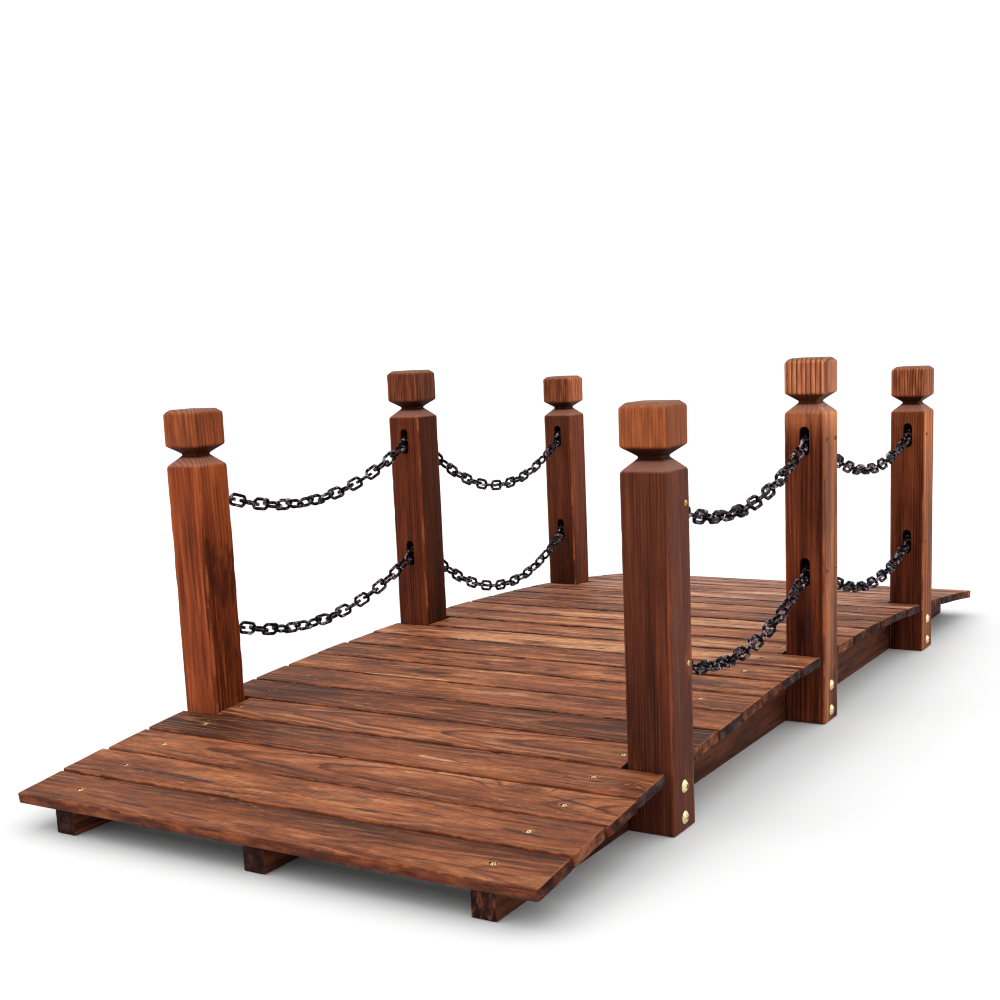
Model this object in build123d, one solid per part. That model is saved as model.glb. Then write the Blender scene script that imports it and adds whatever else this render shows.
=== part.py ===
from build123d import *
import os
from math import asin, atan, atan2, cos, degrees, hypot, pi, radians, sin, sinh, cosh, sqrt

# Arched wooden footbridge with post-and-chain railings.  Millimetres.
# +X runs along the bridge, +Y across it, +Z up.  The ground is Z = 0 and the
# origin is under the middle of the bridge.

# ---- overall ----
LENGTH = 1500.0            # over the outer edges of the end boards
DECK_W = 652.0             # length of a full board
CROWN_Z = 90.5             # top of the deck at mid span
ARCH_R = 5600.0            # radius of the walking surface
ARCH_ZC = CROWN_Z - ARCH_R

# ---- deck boards ----
N_BOARDS = 23
BOARD_T = 12.0
BOARD_GAP = 3.0
BOARD_EDGE_R = 1.6         # eased long edges
SHORT_BOARDS = (4, 11, 18)  # boards that end between a pair of posts
SHORT_END_GAP = 3.0        # from the end of a short board to the post

# ---- stringers ----
STRINGER_T = 27.0
STRINGER_HALF_L = 742.0
STRINGER_OUT_Y = 277.0     # outer face of the two outer stringers
SEAT_GAP = 0.05            # board underside to stringer, at the line of contact

# ---- posts ----
POST_S = 51.5              # square section
POST_Y = STRINGER_OUT_Y + POST_S / 2
SHAFT_H_END = 367.0
SHAFT_H_MID = 394.5
SHOULDER_H = 12.5          # slope from shaft up to neck
NECK_S = 24.5
NECK_H = 2.0
FLARE_H = 10.0             # slope from neck out to cap
CAP_H = 38.0               # upright part of the cap
CAP_TOP_RISE = 4.8         # bevel round the top
CAP_TOP_INSET = 5.5
POST_EDGE_R = 2.4

# ---- slots for the chains, in the faces that look along the bridge ----
SLOT_W = 12.5
SLOT_DEPTH = 20.0
SLOT_UP = 16.5             # above the screw
SLOT_DOWN = 19.5           # below the screw
SCREW_IN = 10.0            # from the post face to the screw
SCREW_R = 1.5
SCREW_LEN = 40.0
SCREW_HEAD_R = 3.2
SCREW_HEAD_H = 1.9
SCREW_Z_END = {"upper": 333.5, "lower": 171.0}
SCREW_Z_MID = {"upper": 361.5, "lower": 197.0}

# ---- post bolts ----
BOLT_Z = (13.5, 46.5)
BOLT_R = 3.0
BOLT_HEAD_R = 6.8
BOLT_HEAD_H = 3.4
WASHER_R = 7.5
WASHER_T = 1.2
NUT_AF = 10.0
NUT_T = 5.0
HOLE_EXTRA = 0.1           # radial clearance of every drilled hole

# ---- chain ----
WIRE = 4.0                 # section of the link, square with broken corners
LINK_PITCH = 22.2
LINK_W = 17.0              # outer width
LINK_GAP = 0.2             # from the joint point to each link's inner end
LINK_BREAK = 1.0           # bevel of the link's edges
# links in each span: side, bay, level
LINKS = {
    ("left", "near", "upper"): 20, ("left", "near", "lower"): 20,
    ("left", "far", "upper"): 21, ("left", "far", "lower"): 21,
    ("right", "near", "upper"): 20, ("right", "near", "lower"): 20,
    ("right", "far", "upper"): 20, ("right", "far", "lower"): 20,
}

os.makedirs("parts", exist_ok=True)


def save(shape, name):
    export_step(shape, "parts/" + name + ".step")


def solids_of(shape):
    return list(shape.solids())


# ---------------------------------------------------------------- deck layout
BOARD_W = 0.0
half_w_guess = 31.0
for _ in range(6):          # board width and the angle between boards
    phi_end = asin((LENGTH / 2) / hypot(ARCH_R, half_w_guess)) - atan(half_w_guess / ARCH_R)
    dphi = phi_end / ((N_BOARDS - 1) / 2)
    BOARD_W = dphi * (ARCH_R - BOARD_T) - BOARD_GAP
    half_w_guess = BOARD_W / 2
BOARD_PHI = [(i - (N_BOARDS - 1) / 2) * dphi for i in range(N_BOARDS)]


def board_x(i):
    return (ARCH_R - BOARD_T / 2) * sin(BOARD_PHI[i])


POST_X = {"near": board_x(SHORT_BOARDS[0]), "middle": 0.0, "far": board_x(SHORT_BOARDS[2])}


# ---------------------------------------------------------------- boards
for i, phi in enumerate(BOARD_PHI):
    length = DECK_W if i not in SHORT_BOARDS else 2 * (STRINGER_OUT_Y - SHORT_END_GAP)
    plank = Box(BOARD_W, length, BOARD_T)
    plank = fillet(plank.edges().filter_by(Axis.Y), BOARD_EDGE_R)
    rc = ARCH_R - BOARD_T / 2
    plank = Location((rc * sin(phi), 0, ARCH_ZC + rc * cos(phi)), (0, degrees(phi), 0)) * plank
    save(plank, "deck_board_%02d" % (i + 1))


# ---------------------------------------------------------------- stringers
def stringer(y_mid, bolts_side):
    r = ARCH_R - BOARD_T - SEAT_GAP
    zt_end = ARCH_ZC + sqrt(r * r - STRINGER_HALF_L ** 2)
    zt_mid = ARCH_ZC + r
    with BuildPart() as p:
        with BuildSketch(Plane.XZ.offset(-(y_mid + STRINGER_T / 2))):
            with BuildLine():
                Line((-STRINGER_HALF_L, 0), (STRINGER_HALF_L, 0))
                Line((STRINGER_HALF_L, 0), (STRINGER_HALF_L, zt_end))
                ThreePointArc((STRINGER_HALF_L, zt_end), (0, zt_mid), (-STRINGER_HALF_L, zt_end))
                Line((-STRINGER_HALF_L, zt_end), (-STRINGER_HALF_L, 0))
            make_face()
        extrude(amount=STRINGER_T)
    body = p.part
    if bolts_side:
        for x in POST_X.values():
            for z in BOLT_Z:
                body -= Location((x, y_mid, z), (90, 0, 0)) * Cylinder(BOLT_R + HOLE_EXTRA, STRINGER_T + 4)
    return body


STRINGER_Y = {"left": STRINGER_OUT_Y - STRINGER_T / 2, "middle": 0.0, "right": -(STRINGER_OUT_Y - STRINGER_T / 2)}
for side, y in STRINGER_Y.items():
    save(stringer(y, side != "middle"), "stringer_" + side)


# ---------------------------------------------------------------- posts
def post_profile(shaft_h):
    a, n, c = POST_S / 2, NECK_S / 2, POST_S / 2
    z1 = shaft_h
    z2 = z1 + SHOULDER_H
    z3 = z2 + NECK_H
    z4 = z3 + FLARE_H
    z5 = z4 + CAP_H
    z6 = z5 + CAP_TOP_RISE
    t = c - CAP_TOP_INSET
    right = [(a, 0), (a, z1), (n, z2), (n, z3), (c, z4), (c, z5), (t, z6)]
    return right + [(-x, z) for x, z in reversed(right)]


def post_blank(shaft_h):
    prof = post_profile(shaft_h)
    one = extrude(Plane.XZ * Polygon(*prof, align=None), amount=POST_S, both=True)
    two = extrude(Plane.YZ * Polygon(*prof, align=None), amount=POST_S, both=True)
    body = one & two
    up = [e for e in body.edges().filter_by(Axis.Z) if e.length > 10]
    return fillet(up, POST_EDGE_R)


def chain_ends(place):
    # which faces of a post carry chain slots: +1 looks to +X, -1 to -X
    return {"near": (1,), "middle": (-1, 1), "far": (-1,)}[place]


def screw_z(place):
    return SCREW_Z_MID if place == "middle" else SCREW_Z_END


def slot(direction, zs):
    h = SLOT_UP + SLOT_DOWN
    zc = zs + (SLOT_UP - SLOT_DOWN) / 2
    face_x = direction * POST_S / 2
    # upright obround, cut inwards from the face
    sk = Plane(origin=(face_x + direction * 1.0, 0, zc), x_dir=(0, 0, 1), z_dir=(direction, 0, 0)) * SlotOverall(h, SLOT_W)
    return extrude(sk, amount=-(SLOT_DEPTH + 1.0))


def post(place, side):
    out = -1 if side == "right" else 1
    body = post_blank(SHAFT_H_MID if place == "middle" else SHAFT_H_END)
    for d in chain_ends(place):
        for level, zs in screw_z(place).items():
            body -= slot(d, zs)
            xs = d * (POST_S / 2 - SCREW_IN)
            hole = Cylinder(SCREW_R + HOLE_EXTRA, SCREW_LEN + 3)
            y_mid = out * (POST_S / 2 - (SCREW_LEN + 3) / 2 + 1)
            body -= Location((xs, y_mid, zs), (90, 0, 0)) * hole
    for z in BOLT_Z:
        body -= Location((0, 0, z), (90, 0, 0)) * Cylinder(BOLT_R + HOLE_EXTRA, POST_S + 4)
    return Location((POST_X[place], out * POST_Y, 0)) * body


for place in POST_X:
    for side in ("left", "right"):
        save(post(place, side), "post_%s_%s" % (place, side))


# ---------------------------------------------------------------- fasteners
def dome(r, h):
    # low round head, flat side at z = 0
    rs = (r * r + h * h) / (2 * h)
    cap = Location((0, 0, h - rs)) * Sphere(rs)
    return cap & (Location((0, 0, h / 2)) * Cylinder(r + 1, h))


def bolt(x, z, side):
    out = -1 if side == "right" else 1
    y_face = POST_Y + POST_S / 2
    y_in = STRINGER_OUT_Y - STRINGER_T
    shank_l = y_face - y_in + WASHER_T + NUT_T + 2
    head = dome(BOLT_HEAD_R, BOLT_HEAD_H)
    recess = (Box(4.6, 1.0, 2.4) + Box(1.0, 4.6, 2.4))
    head -= Location((0, 0, BOLT_HEAD_H)) * recess
    b = head + Location((0, 0, -shank_l / 2)) * Cylinder(BOLT_R, shank_l)
    washer = Location((0, 0, -(y_face - y_in) - WASHER_T / 2)) * (Cylinder(WASHER_R, WASHER_T))
    nut = extrude(RegularPolygon(NUT_AF / 2, 6, major_radius=False), amount=NUT_T)
    b = b + washer + Location((0, 0, -(y_face - y_in) - WASHER_T - NUT_T)) * nut
    plane = Plane(origin=(x, out * y_face, z), x_dir=(1, 0, 0), z_dir=(0, out, 0))
    return plane * b


def chain_screw(x, z, side):
    out = -1 if side == "right" else 1
    y_face = POST_Y + POST_S / 2
    head = dome(SCREW_HEAD_R, SCREW_HEAD_H)
    head -= Location((0, 0, SCREW_HEAD_H)) * (Box(2.8, 0.7, 1.4) + Box(0.7, 2.8, 1.4))
    s = head + Location((0, 0, -SCREW_LEN / 2)) * Cylinder(SCREW_R, SCREW_LEN)
    plane = Plane(origin=(x, out * y_face, z), x_dir=(1, 0, 0), z_dir=(0, out, 0))
    return plane * s


for side in ("left", "right"):
    bolts = [bolt(x, z, side) for x in POST_X.values() for z in BOLT_Z]
    save(Compound(children=bolts), "post_bolts_" + side)
    screws = []
    for place, x in POST_X.items():
        for d in chain_ends(place):
            for zs in screw_z(place).values():
                screws.append(chain_screw(x + d * (POST_S / 2 - SCREW_IN), zs, side))
    save(Compound(children=screws), "chain_screws_" + side)


# ---------------------------------------------------------------- chains
def octagon(length, width, corner):
    a, b = length / 2, width / 2
    return Polygon((a, b - corner), (a - corner, b), (-a + corner, b), (-a, b - corner),
                   (-a, -b + corner), (-a + corner, -b), (a - corner, -b), (a, -b + corner), align=None)


def make_link():
    inner_l = LINK_PITCH + 2 * LINK_GAP
    outer_l = inner_l + 2 * WIRE
    ring = octagon(outer_l, LINK_W, 5.0) - octagon(inner_l, LINK_W - 2 * WIRE, 2.0)
    body = extrude(ring, amount=WIRE / 2, both=True)
    flat = [e for e in body.edges() if abs(e.center().Z) > WIRE / 2 - 0.01]
    return chamfer(flat, LINK_BREAK)


LINK = make_link()


def hang(x0, z0, x1, z1, length, n):
    # catenary of the given length from (x0, z0) to (x1, z1), cut into n equal arcs
    dx, dz = x1 - x0, z1 - z0
    target = sqrt(length * length - dz * dz) / dx
    lo, hi = 1e-4, 20.0
    for _ in range(200):
        u = (lo + hi) / 2
        if sinh(u) / u < target:
            lo = u
        else:
            hi = u
    a = dx / (2 * u)
    # lowest point of the curve
    k = asinh(dz / (2 * a * sinh(u)))
    xm = (x0 + x1) / 2 - a * k
    zc = z0 - a * cosh((x0 - xm) / a)
    s0 = a * sinh((x0 - xm) / a)
    pts = []
    for i in range(n + 1):
        s = s0 + length * i / n
        t = a * asinh(s / a)
        pts.append((xm + t, zc + a * cosh(t / a)))
    return pts


def asinh(v):
    from math import log
    return log(v + sqrt(v * v + 1)) if v >= 0 else -log(-v + sqrt(v * v + 1))


def chain(side, bay, level):
    out = -1 if side == "right" else 1
    n = LINKS[(side, bay, level)]
    if bay == "near":
        xa, za = POST_X["near"] + POST_S / 2 - SCREW_IN, SCREW_Z_END[level]
        xb, zb = POST_X["middle"] - POST_S / 2 + SCREW_IN, SCREW_Z_MID[level]
    else:
        xa, za = POST_X["middle"] + POST_S / 2 - SCREW_IN, SCREW_Z_MID[level]
        xb, zb = POST_X["far"] - POST_S / 2 + SCREW_IN, SCREW_Z_END[level]
    # the end links bear on the far side of each screw
    ta, tb = radians(-25), radians(25)
    for _ in range(4):
        pts = hang(xa - SCREW_R * cos(ta), za - SCREW_R * sin(ta),
                   xb + SCREW_R * cos(tb), zb + SCREW_R * sin(tb), n * LINK_PITCH, n)
        ta = atan2(pts[1][1] - pts[0][1], pts[1][0] - pts[0][0])
        tb = atan2(pts[-1][1] - pts[-2][1], pts[-1][0] - pts[-2][0])
    # neighbouring links stand crosswise; with an even count the chain is also
    # twisted by a quarter turn, so that both end links lie flat in their slots
    extra = 0.0 if n % 2 else 90.0
    links = []
    for i in range(n):
        (xp, zp), (xq, zq) = pts[i], pts[i + 1]
        tx, tz = xq - xp, zq - zp
        length = hypot(tx, tz)
        tx, tz = tx / length, tz / length
        f = i / (n - 1)
        roll = radians(90.0 * i + extra * f)
        # normal: +Y turned about the tangent
        nx, ny, nz = sin(roll) * -tz, cos(roll), sin(roll) * tx
        plane = Plane(origin=((xp + xq) / 2, out * POST_Y, (zp + zq) / 2),
                      x_dir=(tx, 0, tz), z_dir=(nx, ny, nz))
        links.append(plane * LINK)
    return Compound(children=links), min(z for x, z in pts), pts


for side, bay, level in LINKS:
    shape, low, pts = chain(side, bay, level)
    print("chain", side, bay, level, "lowest centre", round(low, 1))
    save(shape, "chain_%s_%s_%s" % (side, bay, level))

print("board width", round(BOARD_W, 2), "pitch", round(dphi * ARCH_R, 2), "post x", {k: round(v, 2) for k, v in POST_X.items()})
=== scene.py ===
from math import asin, atan, atan2, ceil, cos, cosh, exp, floor, hypot, log, pi, radians, sin, sinh, sqrt
import random
import bmesh
import bpy
import numpy as np
from mathutils import Matrix, Vector


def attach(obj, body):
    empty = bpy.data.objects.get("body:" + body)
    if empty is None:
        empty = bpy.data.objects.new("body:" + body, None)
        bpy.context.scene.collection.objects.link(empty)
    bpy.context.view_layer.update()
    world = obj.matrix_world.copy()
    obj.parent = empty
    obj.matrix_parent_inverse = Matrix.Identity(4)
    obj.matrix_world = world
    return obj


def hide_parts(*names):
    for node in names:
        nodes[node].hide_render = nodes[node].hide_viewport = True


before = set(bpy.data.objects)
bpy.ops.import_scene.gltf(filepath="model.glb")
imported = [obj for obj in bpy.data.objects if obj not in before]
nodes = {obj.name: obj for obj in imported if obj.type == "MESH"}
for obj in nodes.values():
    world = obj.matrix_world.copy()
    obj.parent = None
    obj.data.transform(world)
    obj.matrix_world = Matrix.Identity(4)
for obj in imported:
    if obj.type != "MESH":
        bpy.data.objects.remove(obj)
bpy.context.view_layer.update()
MM = 0.001

# ------------------------------------------------------------------ dimensions, mm, as in the CAD
CROWN_Z, ARCH_R = 90.5, 5600.0
ARCH_ZC = CROWN_Z - ARCH_R
LENGTH, DECK_W = 1500.0, 652.0
N_BOARDS, BOARD_T, BOARD_GAP = 23, 12.0, 3.0
SHORT_BOARDS, SHORT_HALF = (4, 11, 18), 274.0
STRINGER_T, STRINGER_HALF_L, STRINGER_OUT_Y = 27.0, 742.0, 277.0
POST_S, POST_Y = 51.5, 302.75
SHAFT_H = {"near": 367.0, "middle": 394.5, "far": 367.0}
SHOULDER_H, NECK_S, NECK_H, FLARE_H, CAP_H, CAP_RISE, CAP_INSET = 12.5, 24.5, 2.0, 10.0, 38.0, 4.8, 5.5
SLOT_W, SLOT_DEPTH, SLOT_UP, SLOT_DOWN = 12.5, 20.0, 16.5, 19.5
SCREW_IN, SCREW_R = 10.0, 1.5
SCREW_Z = {"near": (333.5, 171.0), "middle": (361.5, 197.0), "far": (333.5, 171.0)}
WIRE, LINK_PITCH, LINK_W, LINK_GAP = 4.0, 22.2, 17.0, 0.2

half_w = 31.0
for _ in range(6):
    phi_end = asin((LENGTH / 2) / hypot(ARCH_R, half_w)) - atan(half_w / ARCH_R)
    DPHI = phi_end / ((N_BOARDS - 1) / 2)
    BOARD_W = DPHI * (ARCH_R - BOARD_T) - BOARD_GAP
    half_w = BOARD_W / 2
PHI = [(i - (N_BOARDS - 1) / 2) * DPHI for i in range(N_BOARDS)]
RC = ARCH_R - BOARD_T / 2
POST_X = {"near": RC * sin(PHI[4]), "middle": 0.0, "far": RC * sin(PHI[18])}


# ------------------------------------------------------------------ small tools
def srgb(r, g, b):
    return tuple((c / 255 / 12.92) if c / 255 <= 0.04045 else ((c / 255 + 0.055) / 1.055) ** 2.4 for c in (r, g, b)) + (1.0,)


def rng(*key):
    return random.Random("bridge " + " ".join(str(k) for k in key))


def hash3(ix, iy, iz, seed):
    h = (ix * 374761393 + iy * 668265263 + iz * 2147483647 + seed * 144665) & 0xFFFFFFFF
    h = ((h ^ (h >> 13)) * 1274126177) & 0xFFFFFFFF
    return ((h ^ (h >> 16)) & 0xFFFFFF) / float(0xFFFFFF) * 2 - 1


def vnoise(x, y, z, seed):
    # smooth value noise, -1 to 1
    x, y, z = np.broadcast_arrays(np.asarray(x, float), np.asarray(y, float), np.asarray(z, float))
    ix, iy, iz = (np.floor(v).astype(np.int64) for v in (x, y, z))
    fx, fy, fz = x - ix, y - iy, z - iz
    fx, fy, fz = (f * f * (3 - 2 * f) for f in (fx, fy, fz))
    out = 0
    for a in (0, 1):
        for b in (0, 1):
            for c in (0, 1):
                wgt = (fx if a else 1 - fx) * (fy if b else 1 - fy) * (fz if c else 1 - fz)
                out = out + wgt * hash3(ix + a, iy + b, iz + c, seed)
    return out


def fbm(x, y, z, seed, octaves=3):
    total, amp, norm = 0, 1.0, 0.0
    for o in range(octaves):
        total = total + amp * vnoise(np.asarray(x) * 2 ** o, np.asarray(y) * 2 ** o, np.asarray(z) * 2 ** o, seed + 17 * o)
        norm += amp
        amp *= 0.5
    return total / norm


def smooth(a, b, v):
    t = np.clip((np.asarray(v, float) - a) / (b - a), 0, 1)
    return t * t * (3 - 2 * t)


def make_mesh(name, verts, faces, sharp=34.0, attrs=None, closed=True):
    mesh = bpy.data.meshes.new(name)
    mesh.from_pydata([tuple(v) for v in np.asarray(verts) * MM], [], faces)
    mesh.validate()
    if closed:
        # faces of a closed piece look outwards
        bm = bmesh.new()
        bm.from_mesh(mesh)
        if bm.calc_volume(signed=True) < 0:
            bmesh.ops.reverse_faces(bm, faces=bm.faces[:])
            bm.to_mesh(mesh)
        bm.free()
    mesh.polygons.foreach_set("use_smooth", [True] * len(mesh.polygons))
    mesh.set_sharp_from_angle(angle=radians(sharp))
    for key, values in (attrs or {}).items():
        mesh.attributes.new(key, "FLOAT", "POINT").data.foreach_set("value", np.asarray(values, np.float32))
    mesh.update()
    ob = bpy.data.objects.new(name, mesh)
    bpy.context.scene.collection.objects.link(ob)
    return ob


def tube_faces(n_st, n_p, closed_ends=True):
    faces = []
    for s in range(n_st - 1):
        a, b = s * n_p, (s + 1) * n_p
        for p in range(n_p):
            q = (p + 1) % n_p
            faces.append((a + p, a + q, b + q, b + p))
    if closed_ends:
        faces.append(tuple(range(n_p - 1, -1, -1)))
        faces.append(tuple((n_st - 1) * n_p + p for p in range(n_p)))
    return faces


def stations(half, step, extra=(), end=(0.0, 0.35, 0.9, 1.7, 3.0)):
    s = set()
    n = int(ceil(2 * (half - 4) / step))
    for k in range(n + 1):
        s.add(round(-(half - 4) + 2 * (half - 4) * k / n, 4))
    for e in end:
        s.add(round(half - e, 4))
        s.add(round(-half + e, 4))
    near = [v for c, reach, d in extra for v in np.arange(c - reach, c + reach + 1e-6, d)]
    s = {v for v in s if not any(abs(v - c) < reach + 0.3 for c, reach, d in extra)}
    s.update(round(float(v), 4) for v in near)
    return np.array(sorted(s))


# ------------------------------------------------------------------ node helper
class Tree:
    def __init__(self, name):
        self.mat = bpy.data.materials.new(name)
        self.mat.use_nodes = True
        self.nt = self.mat.node_tree
        self.nt.nodes.clear()
        self.out = self.nt.nodes.new("ShaderNodeOutputMaterial")
        self.bsdf = self.nt.nodes.new("ShaderNodeBsdfPrincipled")
        self.nt.links.new(self.bsdf.outputs[0], self.out.inputs[0])

    def put(self, socket, v):
        if isinstance(v, bpy.types.NodeSocket):
            self.nt.links.new(v, socket)
        elif v is not None:
            if hasattr(socket.default_value, "__len__"):
                if not hasattr(v, "__len__"):
                    v = (v,) * len(socket.default_value)
                v = tuple(v)[:len(socket.default_value)]
                if len(v) < len(socket.default_value):
                    v = v + (1.0,)
            socket.default_value = v

    def node(self, kind, **props):
        n = self.nt.nodes.new(kind)
        for k, v in props.items():
            setattr(n, k, v)
        return n

    def m(self, op, a, b=None, c=None, clamp=False):
        n = self.node("ShaderNodeMath", operation=op, use_clamp=clamp)
        self.put(n.inputs[0], a)
        self.put(n.inputs[1], b)
        if c is not None:
            self.put(n.inputs[2], c)
        return n.outputs[0]

    def add(self, a, b): return self.m("ADD", a, b)
    def sub(self, a, b): return self.m("SUBTRACT", a, b)
    def mul(self, a, b): return self.m("MULTIPLY", a, b)
    def div(self, a, b): return self.m("DIVIDE", a, b)
    def mx(self, a, b): return self.m("MAXIMUM", a, b)
    def mn(self, a, b): return self.m("MINIMUM", a, b)
    def absf(self, a): return self.m("ABSOLUTE", a)

    def comb(self, x, y, z):
        n = self.node("ShaderNodeCombineXYZ")
        for s, v in zip(n.inputs, (x, y, z)):
            self.put(s, v)
        return n.outputs[0]

    def sep(self, v):
        n = self.node("ShaderNodeSeparateXYZ")
        self.put(n.inputs[0], v)
        return n.outputs[0], n.outputs[1], n.outputs[2]

    def noise(self, vec, scale=1.0, detail=2.0, rough=0.5, dist=0.0, out=0, kind="3D", w=None, lac=2.0):
        n = self.node("ShaderNodeTexNoise", noise_dimensions=kind)
        if vec is not None and kind != "1D":
            self.put(n.inputs["Vector"], vec)
        if w is not None:
            self.put(n.inputs["W"], w)
        self.put(n.inputs["Scale"], scale)
        self.put(n.inputs["Detail"], detail)
        self.put(n.inputs["Roughness"], rough)
        self.put(n.inputs["Lacunarity"], lac)
        self.put(n.inputs["Distortion"], dist)
        return n.outputs[out]

    def voronoi(self, vec, scale=1.0, feature="F1", rand=1.0, out="Distance"):
        n = self.node("ShaderNodeTexVoronoi", feature=feature)
        self.put(n.inputs["Vector"], vec)
        self.put(n.inputs["Scale"], scale)
        self.put(n.inputs["Randomness"], rand)
        return n.outputs[out]

    def step(self, v, a, b, lo=0.0, hi=1.0):
        n = self.node("ShaderNodeMapRange", interpolation_type="SMOOTHSTEP")
        for s, x in zip(n.inputs, (v, a, b, lo, hi)):
            self.put(s, x)
        return n.outputs[0]

    def lin(self, v, a, b, lo=0.0, hi=1.0, clamp=True):
        n = self.node("ShaderNodeMapRange", clamp=clamp)
        for s, x in zip(n.inputs, (v, a, b, lo, hi)):
            self.put(s, x)
        return n.outputs[0]

    def mix(self, fac, a, b, blend="MIX"):
        n = self.node("ShaderNodeMix", data_type="RGBA", blend_type=blend)
        self.put(n.inputs[0], fac)
        self.put(n.inputs[6], a)
        self.put(n.inputs[7], b)
        return n.outputs[2]

    def mixf(self, fac, a, b):
        n = self.node("ShaderNodeMix", data_type="FLOAT")
        self.put(n.inputs[0], fac)
        self.put(n.inputs[2], a)
        self.put(n.inputs[3], b)
        return n.outputs[0]

    def ramp(self, fac, stops, interp="LINEAR"):
        n = self.node("ShaderNodeValToRGB")
        n.color_ramp.interpolation = interp
        els = n.color_ramp.elements
        while len(els) < len(stops):
            els.new(0.5)
        for e, (p, c) in zip(els, stops):
            e.position = p
            e.color = c if hasattr(c, "__len__") else (c, c, c, 1.0)
        self.put(n.inputs[0], fac)
        return n.outputs[0]

    def scale_color(self, col, f):
        # multiply a colour by a number
        n = self.node("ShaderNodeVectorMath", operation="SCALE")
        self.put(n.inputs[0], col)
        self.put(n.inputs[3], f)
        return n.outputs[0]

    def local(self, centre, angle_y=0.0):
        # object position, in mm, measured from a centre and turned back by angle_y
        tc = self.node("ShaderNodeTexCoord")
        mp = self.node("ShaderNodeMapping", vector_type="TEXTURE")
        mp.inputs["Location"].default_value = tuple(c * MM for c in centre)
        mp.inputs["Rotation"].default_value = (0, angle_y, 0)
        mp.inputs["Scale"].default_value = (MM, MM, MM)
        self.put(mp.inputs["Vector"], tc.outputs["Object"])
        return self.sep(mp.outputs[0])

    def facing(self, axis):
        # how squarely the surface faces along one axis of the bridge
        tc = self.node("ShaderNodeTexCoord")
        return self.absf(self.sep(tc.outputs["Normal"])[axis])

    def finish(self, color, rough, height=None, bump=1.0, dist=0.0004, metal=0.0, spec=0.5, coat=None):
        b = self.bsdf
        self.put(b.inputs["Base Color"], color)
        self.put(b.inputs["Roughness"], rough)
        b.inputs["Metallic"].default_value = metal
        b.inputs["Specular IOR Level"].default_value = spec
        if coat:
            b.inputs["Coat Weight"].default_value = coat[0]
            b.inputs["Coat Roughness"].default_value = coat[1]
        if height is not None:
            n = self.node("ShaderNodeBump")
            n.inputs["Strength"].default_value = bump
            n.inputs["Distance"].default_value = dist
            self.put(n.inputs["Height"], height)
            self.nt.links.new(n.outputs[0], b.inputs["Normal"])
        return self.mat


# ------------------------------------------------------------------ wood
def seen(r, g, b, gain=1.0, veil=0.004):
    # base colour that reads as this tone under the studio light, less the faint sheen on top of it
    return tuple(max(c - veil, 0.0006) * gain for c in srgb(r, g, b)[:3]) + (1.0,)


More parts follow.
